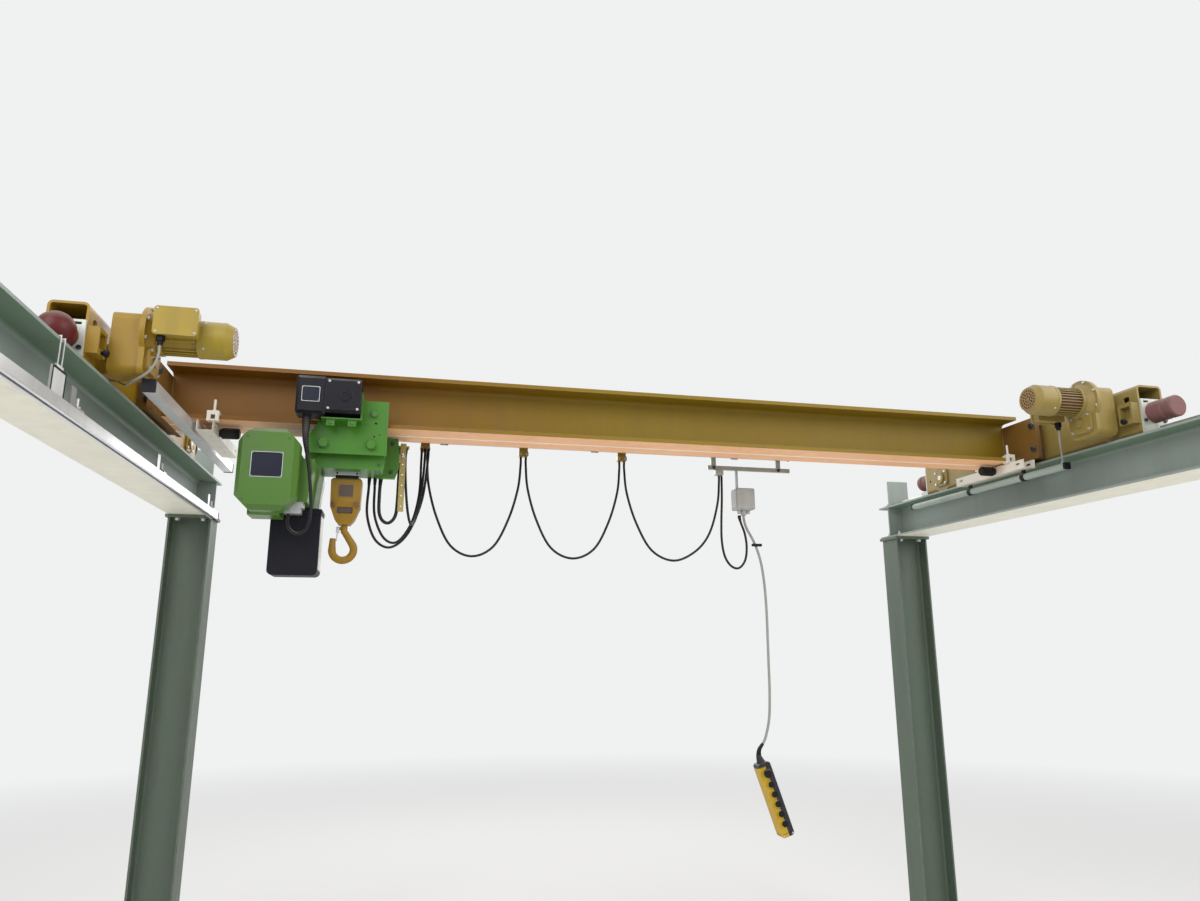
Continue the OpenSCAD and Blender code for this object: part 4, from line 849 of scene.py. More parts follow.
@dataclass(frozen=True)
class TwoTone(Finish):
    """Moulded case with a black half, split along its own leaning axis."""

    second: Point = (0.02, 0.02, 0.028)
    centre: tuple[float, float] = (0.722, 0.932)
    lean: float = -19.0
    split: float = 0.004
    head: float = 0.150

    def paint(self, box: NodeBox) -> bpy.types.NodeSocket:
        """Splits the two colours by a place on the case.

        Formula: u = (x - cx) cos a - (z - cz) sin a across the case and w = (x - cx) sin a + (z - cz) cos a
        along it, a being its lean. It is black where u is beyond the split or w is beyond the head.

        Args:
            box: the material's nodes.

        Returns:
            The colour.
        """
        parts = place_parts(box)
        a = math.radians(self.lean)
        x = box.maths("SUBTRACT", parts["X"], self.centre[0])
        z = box.maths("SUBTRACT", parts["Z"], self.centre[1])
        across = box.maths("MULTIPLY", x, math.cos(a))
        u = box.maths("SUBTRACT", across, box.maths("MULTIPLY", z, math.sin(a)))
        w = box.maths("ADD", box.maths("MULTIPLY", x, math.sin(a)), box.maths("MULTIPLY", z, math.cos(a)))
        side = box.span(u, self.split - SPLIT_EDGE, self.split + SPLIT_EDGE)
        top = box.span(w, self.head - SPLIT_EDGE, self.head + SPLIT_EDGE)
        return box.blend(box.maths("MAXIMUM", side, top), colour4(self.colour), colour4(self.second))


# Finishes, each with the record's material slot that it stands for

# Runway green: its shade colour is painted shade under the flanges, its pale colour painted light on the
# bottom flanges' undersides
RUNWAY_GREEN = LitBelow("green_paint", (0.28, 0.33, 0.30), rough=0.5, settled=0.5, grime=0.12, wear=0.6,
                        lit_underside=(0.85, 0.83, 0.70), name="runway_green")
COLUMN_GREEN = Finish("green_paint", (0.10, 0.135, 0.10), rough=0.5, settled=0.5, grime=0.35, wear=0.6,
                      name="column_green")
RAIL = Finish("rail_steel", (0.50, 0.49, 0.47), rough=0.3, metal=0.85, bare=(0.75, 0.74, 0.72), grime=0.5)
# Girder ochre: its end colour is partly painted shade, its colours below are painted light and a painted
# highlight
OCHRE = GirderPaint("ochre_paint", (0.235, 0.15, 0.005), rough=0.5, grime=0.15, settled=0.3)
ORANGE = Finish("orange_paint", (0.20, 0.098, 0.018), rough=0.5)
YELLOW = EndPaint("yellow_paint", (0.34, 0.20, 0.009), rough=0.45, coat=0.05, name="carriage_yellow")
MOTOR_YELLOW = EndPaint("yellow_paint", (0.36, 0.25, 0.016), rough=0.42, coat=0.05, fin_foot=0.0545,
                        name="motor_yellow")
COWL_YELLOW = EndPaint("yellow_paint", (0.34, 0.245, 0.018), rough=0.42, coat=0.05, fin_foot=0.048,
                       between=(0.17, 0.06, 0.016), brown=(0.95, 0.5), wear=0.0, name="cowl_yellow")
BAR_YELLOW = Finish("yellow_paint", (0.42, 0.34, 0.11), rough=0.5, wear=0.8, name="bar_yellow")
CONTROL = TwoTone("yellow_paint", (0.55, 0.35, 0.02), rough=0.45, wear=0.2, bare=(0.5, 0.35, 0.1),
                  name="control")
LIME = Finish("lime_paint", (0.05, 0.20, 0.010), rough=0.4, coat=0.08, mottle=0.25)
COVER_GREEN = Finish("lime_paint", (0.07, 0.175, 0.018), rough=0.4, coat=0.1, mottle=0.2, name="cover_green")
HOOK = Finish("hook_paint", (0.30, 0.165, 0.009), rough=0.45, wear=0.8)
ZINC = Finish("zinc", (0.56, 0.57, 0.57), rough=0.36, metal=0.7, mottle=0.2, grime=0.25)
PALE_STEEL = Finish("zinc", (0.62, 0.64, 0.58), rough=0.45, metal=0.15, mottle=0.2, name="pale_steel")
CREAM = Finish("zinc", (0.80, 0.76, 0.67), rough=0.45, mottle=0.15, grime=0.2, name="cream_white")
BLUED = Finish("zinc", (0.035, 0.045, 0.075), rough=0.3, metal=0.5, wear=0.7, name="blued_steel")
BRASS = Finish("zinc", (0.50, 0.36, 0.12), rough=0.3, metal=0.8, name="yellow_zinc")
ALUMINIUM = Finish("aluminium", (0.78, 0.79, 0.80), rough=0.34, metal=0.6, mottle=0.12, grime=0.15)
BLACK_PAINT = Finish("black_paint", (0.008, 0.008, 0.013), rough=0.45, wear=0.3, grime=0.06, shine=0.2)
NAVY = Finish("black_paint", (0.004, 0.007, 0.022), rough=0.35, wear=0.15, grime=0.06, shine=0.25,
              name="navy_plate")
BROWN_PLATE = Finish("black_paint", (0.09, 0.065, 0.05), rough=0.45, wear=0.15, grime=0.1, name="brown_plate")
BLACK_PLASTIC = Finish("black_plastic", (0.008, 0.008, 0.013), rough=0.5, wear=0.1, grime=0.06, shine=0.2,
                       bare=(0.12, 0.12, 0.12))
GREY_PLASTIC = Finish("grey_plastic", (0.46, 0.47, 0.46), rough=0.5, wear=0.1, bare=(0.7, 0.7, 0.7))
GREEN_GREY = Finish("grey_plastic", (0.34, 0.40, 0.36), rough=0.5, wear=0.1, name="green_grey")
WHITE_PLASTIC = Finish("grey_plastic", (0.72, 0.72, 0.70), rough=0.45, wear=0.1, bare=(0.7, 0.7, 0.7),
                       name="white_plastic")
RED_RUBBER = Finish("red_rubber", (0.10, 0.006, 0.005), rough=0.42, wear=0.1, bare=(0.5, 0.15, 0.12),
                    grime=0.1)
PINK_RUBBER = Finish("pink_rubber", (0.21, 0.09, 0.085), rough=0.6, wear=0.1, bare=(0.7, 0.5, 0.45))
BLACK_RUBBER = Finish("black_rubber", (0.010, 0.010, 0.011), rough=0.6, wear=0.1, shine=0.2,
                      bare=(0.1, 0.1, 0.1))
CABLE_BLACK = Finish("cable_black", (0.011, 0.011, 0.013), rough=0.45, wear=0.0, grime=0.1, shine=0.25)
CABLE_GREY = Finish("cable_grey", (0.33, 0.33, 0.31), rough=0.5, wear=0.0, grime=0.2)


def dress(frame: dict, finish: Finish, *nodes: str) -> None:
    """Gives CAD nodes a finish in place of their plain one.

    Args:
        finish: the finish.
        nodes: the nodes' names.
    """
    for node in nodes:
        materials = frame["nodes"][node].data.materials
        materials.clear()
        materials.append(finish.material())
        log.info("%s dressed in %s", node, finish.name or finish.slot)


def bare_plate(name: str, size: tuple[float, float], place: Point, body: str, face: Finish,
               rim: Finish = ZINC, lean: float = 0.0) -> None:
    """Fits a bare plate that looks towards the front, with a raised border and four rivets.

    Args:
        name: the plate's name.
        size: width and height, in metres.
        place: middle of the face that it lies on.
        body: the CAD body that carries it.
        face: finish of the plate's face.
        rim: finish of its border and rivets.
        lean: turn about X, in degrees, for a face that leans.
    """
    width, height = size
    rivet = turned([(0.0016, 0), (0.0014, 0.0008), (0.0006, 0.0012)], 10)
    x, y = width / 2 - 0.005, height / 2 - 0.005
    rivets = rivet.at(*spots([-x, x], [-y, y], [0.0012]))
    edge = Shape.join([border(width, height, 0.004, 0.0018, 0.002), rivets])
    flat = slab(rounded(width - 0.001, height - 0.001, 0.0036), 0.0013, 0.0003)
    for part, shape, finish in (("plate", flat, face), ("border", edge, rim)):
        standing = shape.at((0, 0, 0), axis=Axis.MINUS_Y).spun(lean, Axis.PLUS_X).at(place)
        standing.piece(f"{name}_{part}", finish, body, smooth=30)


@dataclass(frozen=True)
class Sleeve:
    """A tapered rubber sleeve on one end of a cord."""

    length: float
    wide: float
    narrow: float
    at_end: bool = False
    ribs: int = 6

    def build(self, line: np.ndarray, name: str, body: str) -> bpy.types.Object:
        """Shapes the sleeve along its cord.

        Formula: the diameter falls evenly from the wide end to the narrow one, less a groove of 7
        hundredths of it between each two ribs, deepest halfway.

        Args:
            line: the cord's points.
            name: the sleeve's name.
            body: the CAD body that carries it.

        Returns:
            The piece.
        """
        points = stretch_of(line[::-1] if self.at_end else line, 0.0, self.length, 6 * self.ribs + 1)
        t = np.linspace(0, 1, len(points))
        groove = 1 - 0.07 * (0.5 - 0.5 * np.cos(2 * math.pi * self.ribs * t))
        diameters = (self.wide + (self.narrow - self.wide) * t) * groove
        return swept(points, diameters, 16).piece(name, BLACK_RUBBER, body, smooth=60)


@dataclass
class Cord:
    """A cable that hangs between two fittings, by the route that part.scad gives it."""

    name: str
    node: str
    body: str
    diameter: float
    finish: Finish
    route: list[Point]
    far_end: str = "object"
    stiffness: str = "medium"
    on_it: list = field(default_factory=list)
    sleeves: tuple[Sleeve, ...] = ()
    follows: str = ""
    share: float = 0.0

    def build(self) -> bpy.types.Object:
        """Returns:
            The piece.
        """
        line = smooth_route(self.route, 6)
        body = "" if self.follows else self.body
        piece = swept(line, self.diameter).piece(self.name, self.finish, body, smooth=60)
        if self.follows:
            self.pull(piece)
        worn = [sleeve.build(line, f"{self.name}_sleeve_{number}", self.body)
                for number, sleeve in enumerate(self.sleeves, start=1)]
        if self.node:
            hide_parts(self.node)
        return piece

    def pull(self, piece: bpy.types.Object) -> None:
        """Bakes the cable's place into its mesh, so that it rides on no body.

        Args:
            piece: the cable.
        """
        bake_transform(piece)


def bridge_route(points: Sequence[Point]) -> list[Point]:
    """Takes route points, in millimetres from the bridge's middle, to metres in the shared frame."""
    return [(x * MM, y * MM + CRANE_Y, z * MM) for x, y, z in points]


@dataclass
class Cords:
    """All cables that the photograph shows hanging on the bridge."""

    pendant: tuple = ((632, 300, 2223), (632, 300, 2195), (645, 300, 2150), (680, 300, 2085),
                      (708, 300, 2000), (722, 300, 1900), (728, 300, 1780), (728, 300, 1650),
                      (727, 300, 1520), (726, 300, 1400), (718, 300, 1280), (694, 300, 1190),
                      (664, 300, 1145), (659, 300, 1115))
    tow: tuple = ((-966, 66, 2411.7), (-966, 66, 2340), (-958, 80, 2230), (-945, 120, 2140),
                  (-930, 175, 2106), (-912, 225, 2140), (-896, 256, 2230), (-887, 272, 2340),
                  (-884, 278, 2430), (-884, 279, 2463))
    tow_low: tuple = ((-1085, 80, 2281.7), (-1085, 82, 2240), (-1080, 110, 2130), (-1040, 165, 2045),
                      (-985, 212, 2035), (-930, 250, 2120), (-902, 270, 2250), (-899, 277, 2400),
                      (-899, 279, 2463))
    lead: tuple = ((-1340, -200, 2462.7), (-1340, -204, 2440), (-1337, -228, 2400), (-1331, -262, 2350),
                   (-1318, -284, 2290), (-1304, -289, 2210), (-1294, -288, 2130), (-1292, -286, 2060),
                   (-1305, -278, 2015), (-1333, -262, 2000), (-1361, -246, 2015), (-1374, -236, 2045),
                   (-1374, -236, 2075))
    drive_left: tuple = ((-1747, -680, 2541.7), (-1747, -680, 2515), (-1754, -678, 2482), (-1776, -668, 2452),
                         (-1812, -645, 2434), (-1848, -600, 2430), (-1872, -555, 2438), (-1893, -520, 2453),
                         (-1916, -497, 2466), (-1939.7, -490, 2470))
    drive_right: tuple = ((1747, -510, 2497.7), (1747, -510, 2482), (1752, -504, 2463), (1768, -486, 2449),
                          (1797, -454, 2443), (1826, -423, 2438), (1843, -404, 2422), (1850, -396, 2404),
                          (1850, -396, 2388.8))
    box_loop: tuple = ((525, 300, 2403.7), (525, 300, 2375), (523, 300, 2290), (517, 300, 2180),
                       (516, 300, 2090), (529, 300, 2015), (560, 300, 1970), (598, 300, 1962),
                       (630, 300, 1998), (641, 300, 2060), (634, 300, 2125), (617, 300, 2175),
                       (610, 300, 2200), (610, 300, 2212.7))
    tow_inner: tuple = ((-1062, 74, 2281.7), (-1064, 74, 2240), (-1064, 75, 2170), (-1060, 76, 2132),
                        (-1047, 77, 2106), (-1027, 78, 2096), (-1008, 77, 2106), (-995, 76, 2132),
                        (-991, 74, 2180), (-990, 72, 2300), (-990, 72, 2370), (-990, 72, 2411.7))
    tow_outer: tuple = ((-1108, 84, 2281.7), (-1109, 88, 2240), (-1110, 112, 2130), (-1074, 166, 2036),
                        (-1010, 216, 2012), (-940, 250, 2080), (-888, 270, 2230), (-871, 278, 2400),
                        (-869, 279, 2463))
    carriers: tuple = (-884, -440, 27)
    clamp_x: float = 511
    clip: float = 12
    top: float = 2449.7
    clamp_top: float = 2412
    low: float = 1990

    def loop(self, x0: float, x1: float, z0: float, z1: float) -> list[Point]:
        """Gives the route of one festoon loop between two clips.

        Formula: straight down from each clip, then in towards the middle by 5, 24 and 55 hundredths of
        half the span as it falls, to the lowest point halfway.

        Args:
            x0: the first clip's place along the girder, in millimetres.
            x1: the second clip's.
            z0: the first clip's height.
            z1: the second clip's.

        Returns:
            The route's points, in millimetres from the bridge's middle.
        """
        m, w, y = (x0 + x1) / 2, (x1 - x0) / 2, FESTOON_Y / MM
        left = [(x0, y, z0), (x0, y, z0 - 40), (x0 + 0.05 * w, y, z0 - 150), (x0 + 0.24 * w, y, z0 - 290),
                (x0 + 0.55 * w, y, self.low + 45), (m, y, self.low)]
        right = [(x1 - 0.55 * w, y, self.low + 45), (x1 - 0.24 * w, y, z1 - 290),
                 (x1 - 0.05 * w, y, z1 - 150), (x1, y, z1 - 40), (x1, y, z1)]
        return left + right

    def build(self, frame: dict) -> None:
        """Makes every cord; those given a body to follow are left on no body.
        """
        reach = {joint["child"]: joint["range_m"][1] for joint in frame["joints"] if joint["type"] == "slide"}
        towed = {"follows": "trolley", "share": reach["festoon_carrier_1"] / reach["trolley"]}
        boot = Sleeve(0.060, 0.024, 0.014, at_end=True)
        relief = Sleeve(0.030, 0.017, 0.0125)
        Cord("pendant_cord", "pendant_cable", "bridge", 0.012, CABLE_GREY, bridge_route(self.pendant),
             far_end="tool", on_it=["pendant_control"], sleeves=(boot,)).build()
        Cord("tow_cord", "tow_cable", "trolley", 0.011, CABLE_BLACK, bridge_route(self.tow),
             sleeves=(relief,), **towed).build()
        Cord("tow_cord_low", "tow_cable_2", "trolley", 0.011, CABLE_BLACK, bridge_route(self.tow_low),
             sleeves=(relief,), **towed).build()
        Cord("tow_cord_inner", "", "trolley", 0.014, CABLE_BLACK, bridge_route(self.tow_inner),
             sleeves=(Sleeve(0.030, 0.019, 0.0155),)).build()
        Cord("tow_cord_outer", "", "trolley", 0.011, CABLE_BLACK, bridge_route(self.tow_outer),
             sleeves=(relief,), **towed).build()
        Cord("hoist_cord", "hoist_lead", "trolley", 0.012, CABLE_BLACK, bridge_route(self.lead),
             stiffness="limp", sleeves=(Sleeve(0.190, 0.034, 0.016, ribs=16),)).build()
        Cord("drive_cord_left", "drive_cable_left", "bridge", 0.008, CABLE_GREY,
             bridge_route(self.drive_left)).build()
        Cord("drive_cord_right", "drive_cable_right", "bridge", 0.008, CABLE_GREY,
             bridge_route(self.drive_right), stiffness="limp").build()
        Cord("box_cord", "", "bridge", 0.011, CABLE_BLACK, bridge_route(self.box_loop),
             sleeves=(Sleeve(0.028, 0.018, 0.0125, at_end=True),)).build()
        c = self.carriers
        spans = [(c[0] + self.clip, c[1] - self.clip, self.top),
                 (c[1] + self.clip, c[2] - self.clip, self.top),
                 (c[2] + self.clip, self.clamp_x, self.clamp_top)]
        for number, (x0, x1, z1) in enumerate(spans, start=1):
            route = bridge_route(self.loop(x0, x1, self.top, z1))
            held, next_one = f"festoon_carrier_{number}", f"festoon_carrier_{number + 1}"
            Cord(f"festoon_loop_{number}", "festoon_cable", "bridge", 0.011, CABLE_BLACK, route,
                 follows=held, share=reach.get(next_one, 0.0) / reach[held]).build()
        self.make_clip()

    def make_clip(self) -> None:
        """Clips a short black bar across the pendant's cable, a little below the junction box."""
        bar = slab(rounded(0.050, 0.013, 0.003), 0.012, 0.0015)
        bar.at((0.690, CRANE_Y + FESTOON_Y - 0.001, 2.072), axis=Axis.MINUS_Y).piece(
            "cable_clip", BLACK_PLASTIC, "bridge")


@dataclass
class Runway:
    """The two runway beams, their columns, the crane rails and the supply line."""

    rail_x: float = 2.0
    column_y: float = 2.909
    base_top: float = 0.020
    anchor: float = 0.120
    cap_low: float = 2.225
    flange_top: float = 2.250
    top: float = 2.430
    stop_y: float = 2.940
    rail_half: float = 0.020
    rail_end: float = 2.880
    weld_pitch: float = 0.300
    weld: float = 0.055
    supply_x: float = -1.879
    supply_mid: float = 2.233
    supply_half: float = 2.810
    plate_mid: tuple[float, float] = (0.790, 2.302)
    anchor_stud: float = 0.042
    cap_bolt: tuple[float, float] = (0.060, 0.055)
    cap_stud: float = 0.026

    def build(self, frame: dict) -> None:
        """Dresses the runway frame and fits its bolts and welds.
        """
        dress(frame, COLUMN_GREEN, "columns_left", "columns_right")
        dress(frame, RUNWAY_GREEN, "runway_left", "runway_right", "runway_stops")
        dress(frame, RAIL, "crane_rails")
        dress(frame, ZINC, "supply_hangers")
        dress(frame, ALUMINIUM, "supply_rail")
        dress(frame, WHITE_PLASTIC, "hanging_plate")
        self.fit_anchors()
        self.fit_caps()
        self.fit_stops()
        self.weld_rails()
        self.close_supply()
        self.edge_plate()

    def edge_plate(self) -> None:
        """Raises a dark band along the rim of the bare plate that hangs on the left runway."""
        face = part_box("hanging_plate")[1][0]
        band = border(0.096, 0.080, 0.006, 0.006, 0.0012)
        band.at((face, *self.plate_mid), axis=Axis.PLUS_X).piece(
            "hanging_plate_border", BLACK_PAINT, "runway_frame")

    def around_columns(self, dx: float, dy: float, z: float) -> list[Point]:
        """Finds four places round each column's axis.

        Args:
            dx: how far they are from the axis across the runways, in metres.
            dy: how far along them.
            z: their height.

        Returns:
            The places.
        """
        xs = [sx * self.rail_x + s * dx for sx in (-1, 1) for s in (-1, 1)]
        ys = [sy * self.column_y + s * dy for sy in (-1, 1) for s in (-1, 1)]
        return spots(xs, ys, [z])

    def fit_anchors(self) -> None:
        """Puts a nut and an anchor's end in every hole of the base plates."""
        places = self.around_columns(self.anchor, self.anchor, self.base_top)
        Bolt.M20.nut(self.anchor_stud).at(*places).piece("anchor_nuts", ZINC, "runway_frame")

    def fit_caps(self) -> None:
        """Bolts each column's cap to the runway's bottom flange."""
        below = self.around_columns(*self.cap_bolt, self.cap_low)
        above = self.around_columns(*self.cap_bolt, self.flange_top)
        Bolt.M16.head().at(*below, axis=Axis.MINUS_Z).piece("cap_bolts", ZINC, "runway_frame")
        Bolt.M16.nut(self.cap_stud).at(*above).piece("cap_nuts", ZINC, "runway_frame")

    def fit_stops(self) -> None:
        """Bolts the foot of each runway stop down."""
        xs = [sx * self.rail_x + s * 0.053 for sx in (-1, 1) for s in (-1, 1)]
        ys = [sy * (self.stop_y + 0.032) for sy in (-1, 1)]
        Bolt.M12.head().at(*spots(xs, ys, [self.top + 0.012])).piece("stop_bolts", ZINC, "runway_frame")

    def weld_rails(self) -> None:
        """Lays short weld beads along both sides of both rails."""
        starts = np.arange(-self.rail_end + 0.04, self.rail_end - self.weld, self.weld_pitch)
        drop = bead((0, 0, 0), (0, self.weld, 0), 0.008)
        xs = [sx * self.rail_x + s * (self.rail_half + 0.001) for sx in (-1, 1) for s in (-1, 1)]
        drop.at(*spots(xs, list(starts), [self.top + 0.001])).piece("rail_welds", RAIL, "runway_frame")

    def close_supply(self) -> None:
        """Caps both ends of the supply rail."""
        cap = slab(rounded(0.034, 0.038, 0.004), 0.006, 0.0012)
        Shape.join([
            cap.at((self.supply_x, self.supply_half, self.supply_mid), axis=Axis.PLUS_Y),
            cap.at((self.supply_x, -self.supply_half, self.supply_mid), axis=Axis.MINUS_Y),
        ]).piece("supply_caps", BLACK_PLASTIC, "runway_frame")


@dataclass
class Bridge:
    """The girder and its two end carriages with their drives."""

    plate_in: float = 1.875
    plate_out: float = 1.895
    plate_bolts: tuple[float, float] = (2.492, 2.602)
    plate_bolt_y: float = 0.207
    flange_top: float = 2.466
    web_half: float = 0.00475
    drive_y: float = CRANE_Y - 0.595
    drive_z: float = 2.597
    wheel_z: float = 2.5103
    cover_x: float = 1.794
    lower_cover_x: float = 1.780
    cowl_x: float = 1.628
    fan_x: float = 1.558
    motor_x: float = 1.702
    hub_out: float = 2.068
    hub_in: float = 1.932
    far_wheel_y: float = CRANE_Y + 0.595
    buffer_face: float = 0.750
    buffer_bolt_z: float = 2.493
    plate_stud: float = 0.024
    cover_bolts: float = 0.087
    cowl_screws: float = 0.063
    lid_y: float = 0.110
    lid_screw: float = 0.058
    knob: Point = (1.904, CRANE_Y - 0.704, 2.4935)

    def build(self, frame: dict) -> None:
        """Dresses the bridge and fits its bolts, fans and welds.
        """
        dress(frame, OCHRE, "girder")
        dress(frame, ORANGE, "girder_end_plates")
        dress(frame, YELLOW, "end_carriages", "gear_cases", "wheel_hubs")
        dress(frame, COWL_YELLOW, "fan_cowls")
        dress(frame, MOTOR_YELLOW, "travel_motors", "terminal_boxes")
        dress(frame, RAIL, "crane_wheels")
        dress(frame, PALE_STEEL, "buffer_plates")
        dress(frame, CREAM, "trolley_stops")
        dress(frame, RED_RUBBER, "buffers_left")
        dress(frame, PINK_RUBBER, "buffers_right")
        dress(frame, ALUMINIUM, "cable_duct_left")
        dress(frame, GREEN_GREY, "conduit_right")
        dress(frame, BLACK_PLASTIC, "drive_glands", "duct_fittings")
        dress(frame, BLACK_RUBBER, "stop_buffers")
        self.bolt_plates()
        self.bolt_drives()
        self.bolt_hubs()
        self.bolt_buffers()
        self.weld_girder()

    def bolt_plates(self) -> None:
        """Bolts the girder's end plates to the carriages."""
        ys = [CRANE_Y - self.plate_bolt_y, CRANE_Y + self.plate_bolt_y]
        heads = both_ends(Bolt.M16.head(), spots([self.plate_in], ys, self.plate_bolts))
        heads.piece("end_plate_bolts", BLUED, "bridge")
        nuts = both_ends(Bolt.M16.nut(self.plate_stud), spots([self.plate_out], ys, self.plate_bolts),
                         inward=False)
        nuts.piece("end_plate_nuts", BLUED, "bridge")

    def bolt_drives(self) -> None:
        """Fits the screws of the gear covers, cowls and terminal boxes, the fans and the bracket knobs.

        Formula: a gear cover's bolts stand on one circle round the drive's axis, at six angles from 20
        degrees below the level on one side over the top to 20 degrees below it on the other.
        """
        a = np.radians(np.linspace(-20, 200, 6))
        r = self.cover_bolts
        places = [(self.cover_x, self.drive_y + r * math.cos(t), self.drive_z + r * math.sin(t)) for t in a]
        lower = spots([self.lower_cover_x], [self.drive_y - 0.045, self.drive_y + 0.045],
                      [self.wheel_z - 0.034, self.wheel_z + 0.026])
        both_ends(Bolt.M6.head(), places + lower).piece("gear_cover_bolts", ZINC, "bridge")
        screw = Bolt.M5.dome().at((0, 0, self.cowl_screws))
        ring = Shape.join([screw.spun(turn, Axis.PLUS_X) for turn in (45, 135, 225, 315)])
        ends = [(self.cowl_x, self.drive_y, self.drive_z), (-self.cowl_x, self.drive_y, self.drive_z)]
        ring.at(*ends).piece("cowl_screws", ZINC, "bridge")
        both_ends(fan(0.054, 0.017, 9), [(self.fan_x, self.drive_y, self.drive_z)]).piece(
            "drive_fans", BLACK_PLASTIC, "bridge", smooth=30)
        lids = [
            Bolt.M5.dome().at(*spots([-self.motor_x - self.lid_screw, -self.motor_x + self.lid_screw],
                                     [self.drive_y - self.lid_y], [2.580, 2.658]), axis=Axis.MINUS_Y),
            Bolt.M5.dome().at(*spots([self.motor_x - self.lid_screw, self.motor_x + self.lid_screw],
                                     [self.drive_y + self.lid_y], [2.536, 2.614]), axis=Axis.PLUS_Y),
        ]
        Shape.join(lids).piece("terminal_lid_screws", ZINC, "bridge")
        knob = turned([(0.006, 0), (0.006, 0.006), (0.011, 0.008), (0.013, 0.013), (0.011, 0.020),
                       (0.006, 0.023)], 20)
        both_ends(knob, [self.knob]).piece("bracket_knobs", BLACK_PLASTIC, "bridge")

    def bolt_hubs(self) -> None:
        """Fits four bolts and the axle's end in each wheel hub."""
        zs = [self.wheel_z - 0.031, self.wheel_z + 0.031]
        near = [self.drive_y - 0.041, self.drive_y + 0.041]
        far = [self.far_wheel_y - 0.041, self.far_wheel_y + 0.041]
        Shape.join([
            both_ends(Bolt.M8.head(), spots([self.hub_out], near + far, zs), inward=False),
            both_ends(Bolt.M8.head(), spots([self.hub_in], far, zs)),
        ]).piece("hub_bolts", ZINC, "bridge")
        end = turned([(0.0145, 0), (0.0145, 0.010), (0.013, 0.012), (0.004, 0.012), (0.003, 0.008)], 32)
        Shape.join([
            both_ends(end, spots([self.hub_out - 0.001], [self.drive_y, self.far_wheel_y], [self.wheel_z]),
                      inward=False),
            both_ends(end, spots([self.hub_in + 0.001], [self.far_wheel_y], [self.wheel_z])),
        ]).piece("axle_ends", RAIL, "bridge")

    def bolt_buffers(self) -> None:
        """Bolts the buffer plates to the carriages' ends."""
        xs = [sx * 2.0 + s * 0.048 for sx in (-1, 1) for s in (-1, 1)]
        Shape.join([
            Bolt.M8.head().at(*spots(xs, [CRANE_Y - self.buffer_face], [self.buffer_bolt_z]),
                              axis=Axis.MINUS_Y),
            Bolt.M8.head().at(*spots(xs, [CRANE_Y + self.buffer_face], [self.buffer_bolt_z]),
                              axis=Axis.PLUS_Y),
        ]).piece("buffer_bolts", BLUED, "bridge")

    def weld_girder(self) -> None:
        """Lays weld beads where the girder meets its end plates."""
        beads = []
        for sx in (-1, 1):
            x = sx * (self.plate_in - 0.001)
            for sy in (-1, 1):
                y = CRANE_Y + sy * (self.web_half + 0.001)
                beads.append(bead((x, y, self.flange_top + 0.020), (x, y, 2.638), 0.009))
                beads.append(bead((x, CRANE_Y + sy * 0.024, self.flange_top + 0.001),
                                  (x, CRANE_Y + sy * 0.107, self.flange_top + 0.001), 0.009))
        Shape.join(beads).piece("girder_welds", ORANGE, "bridge")


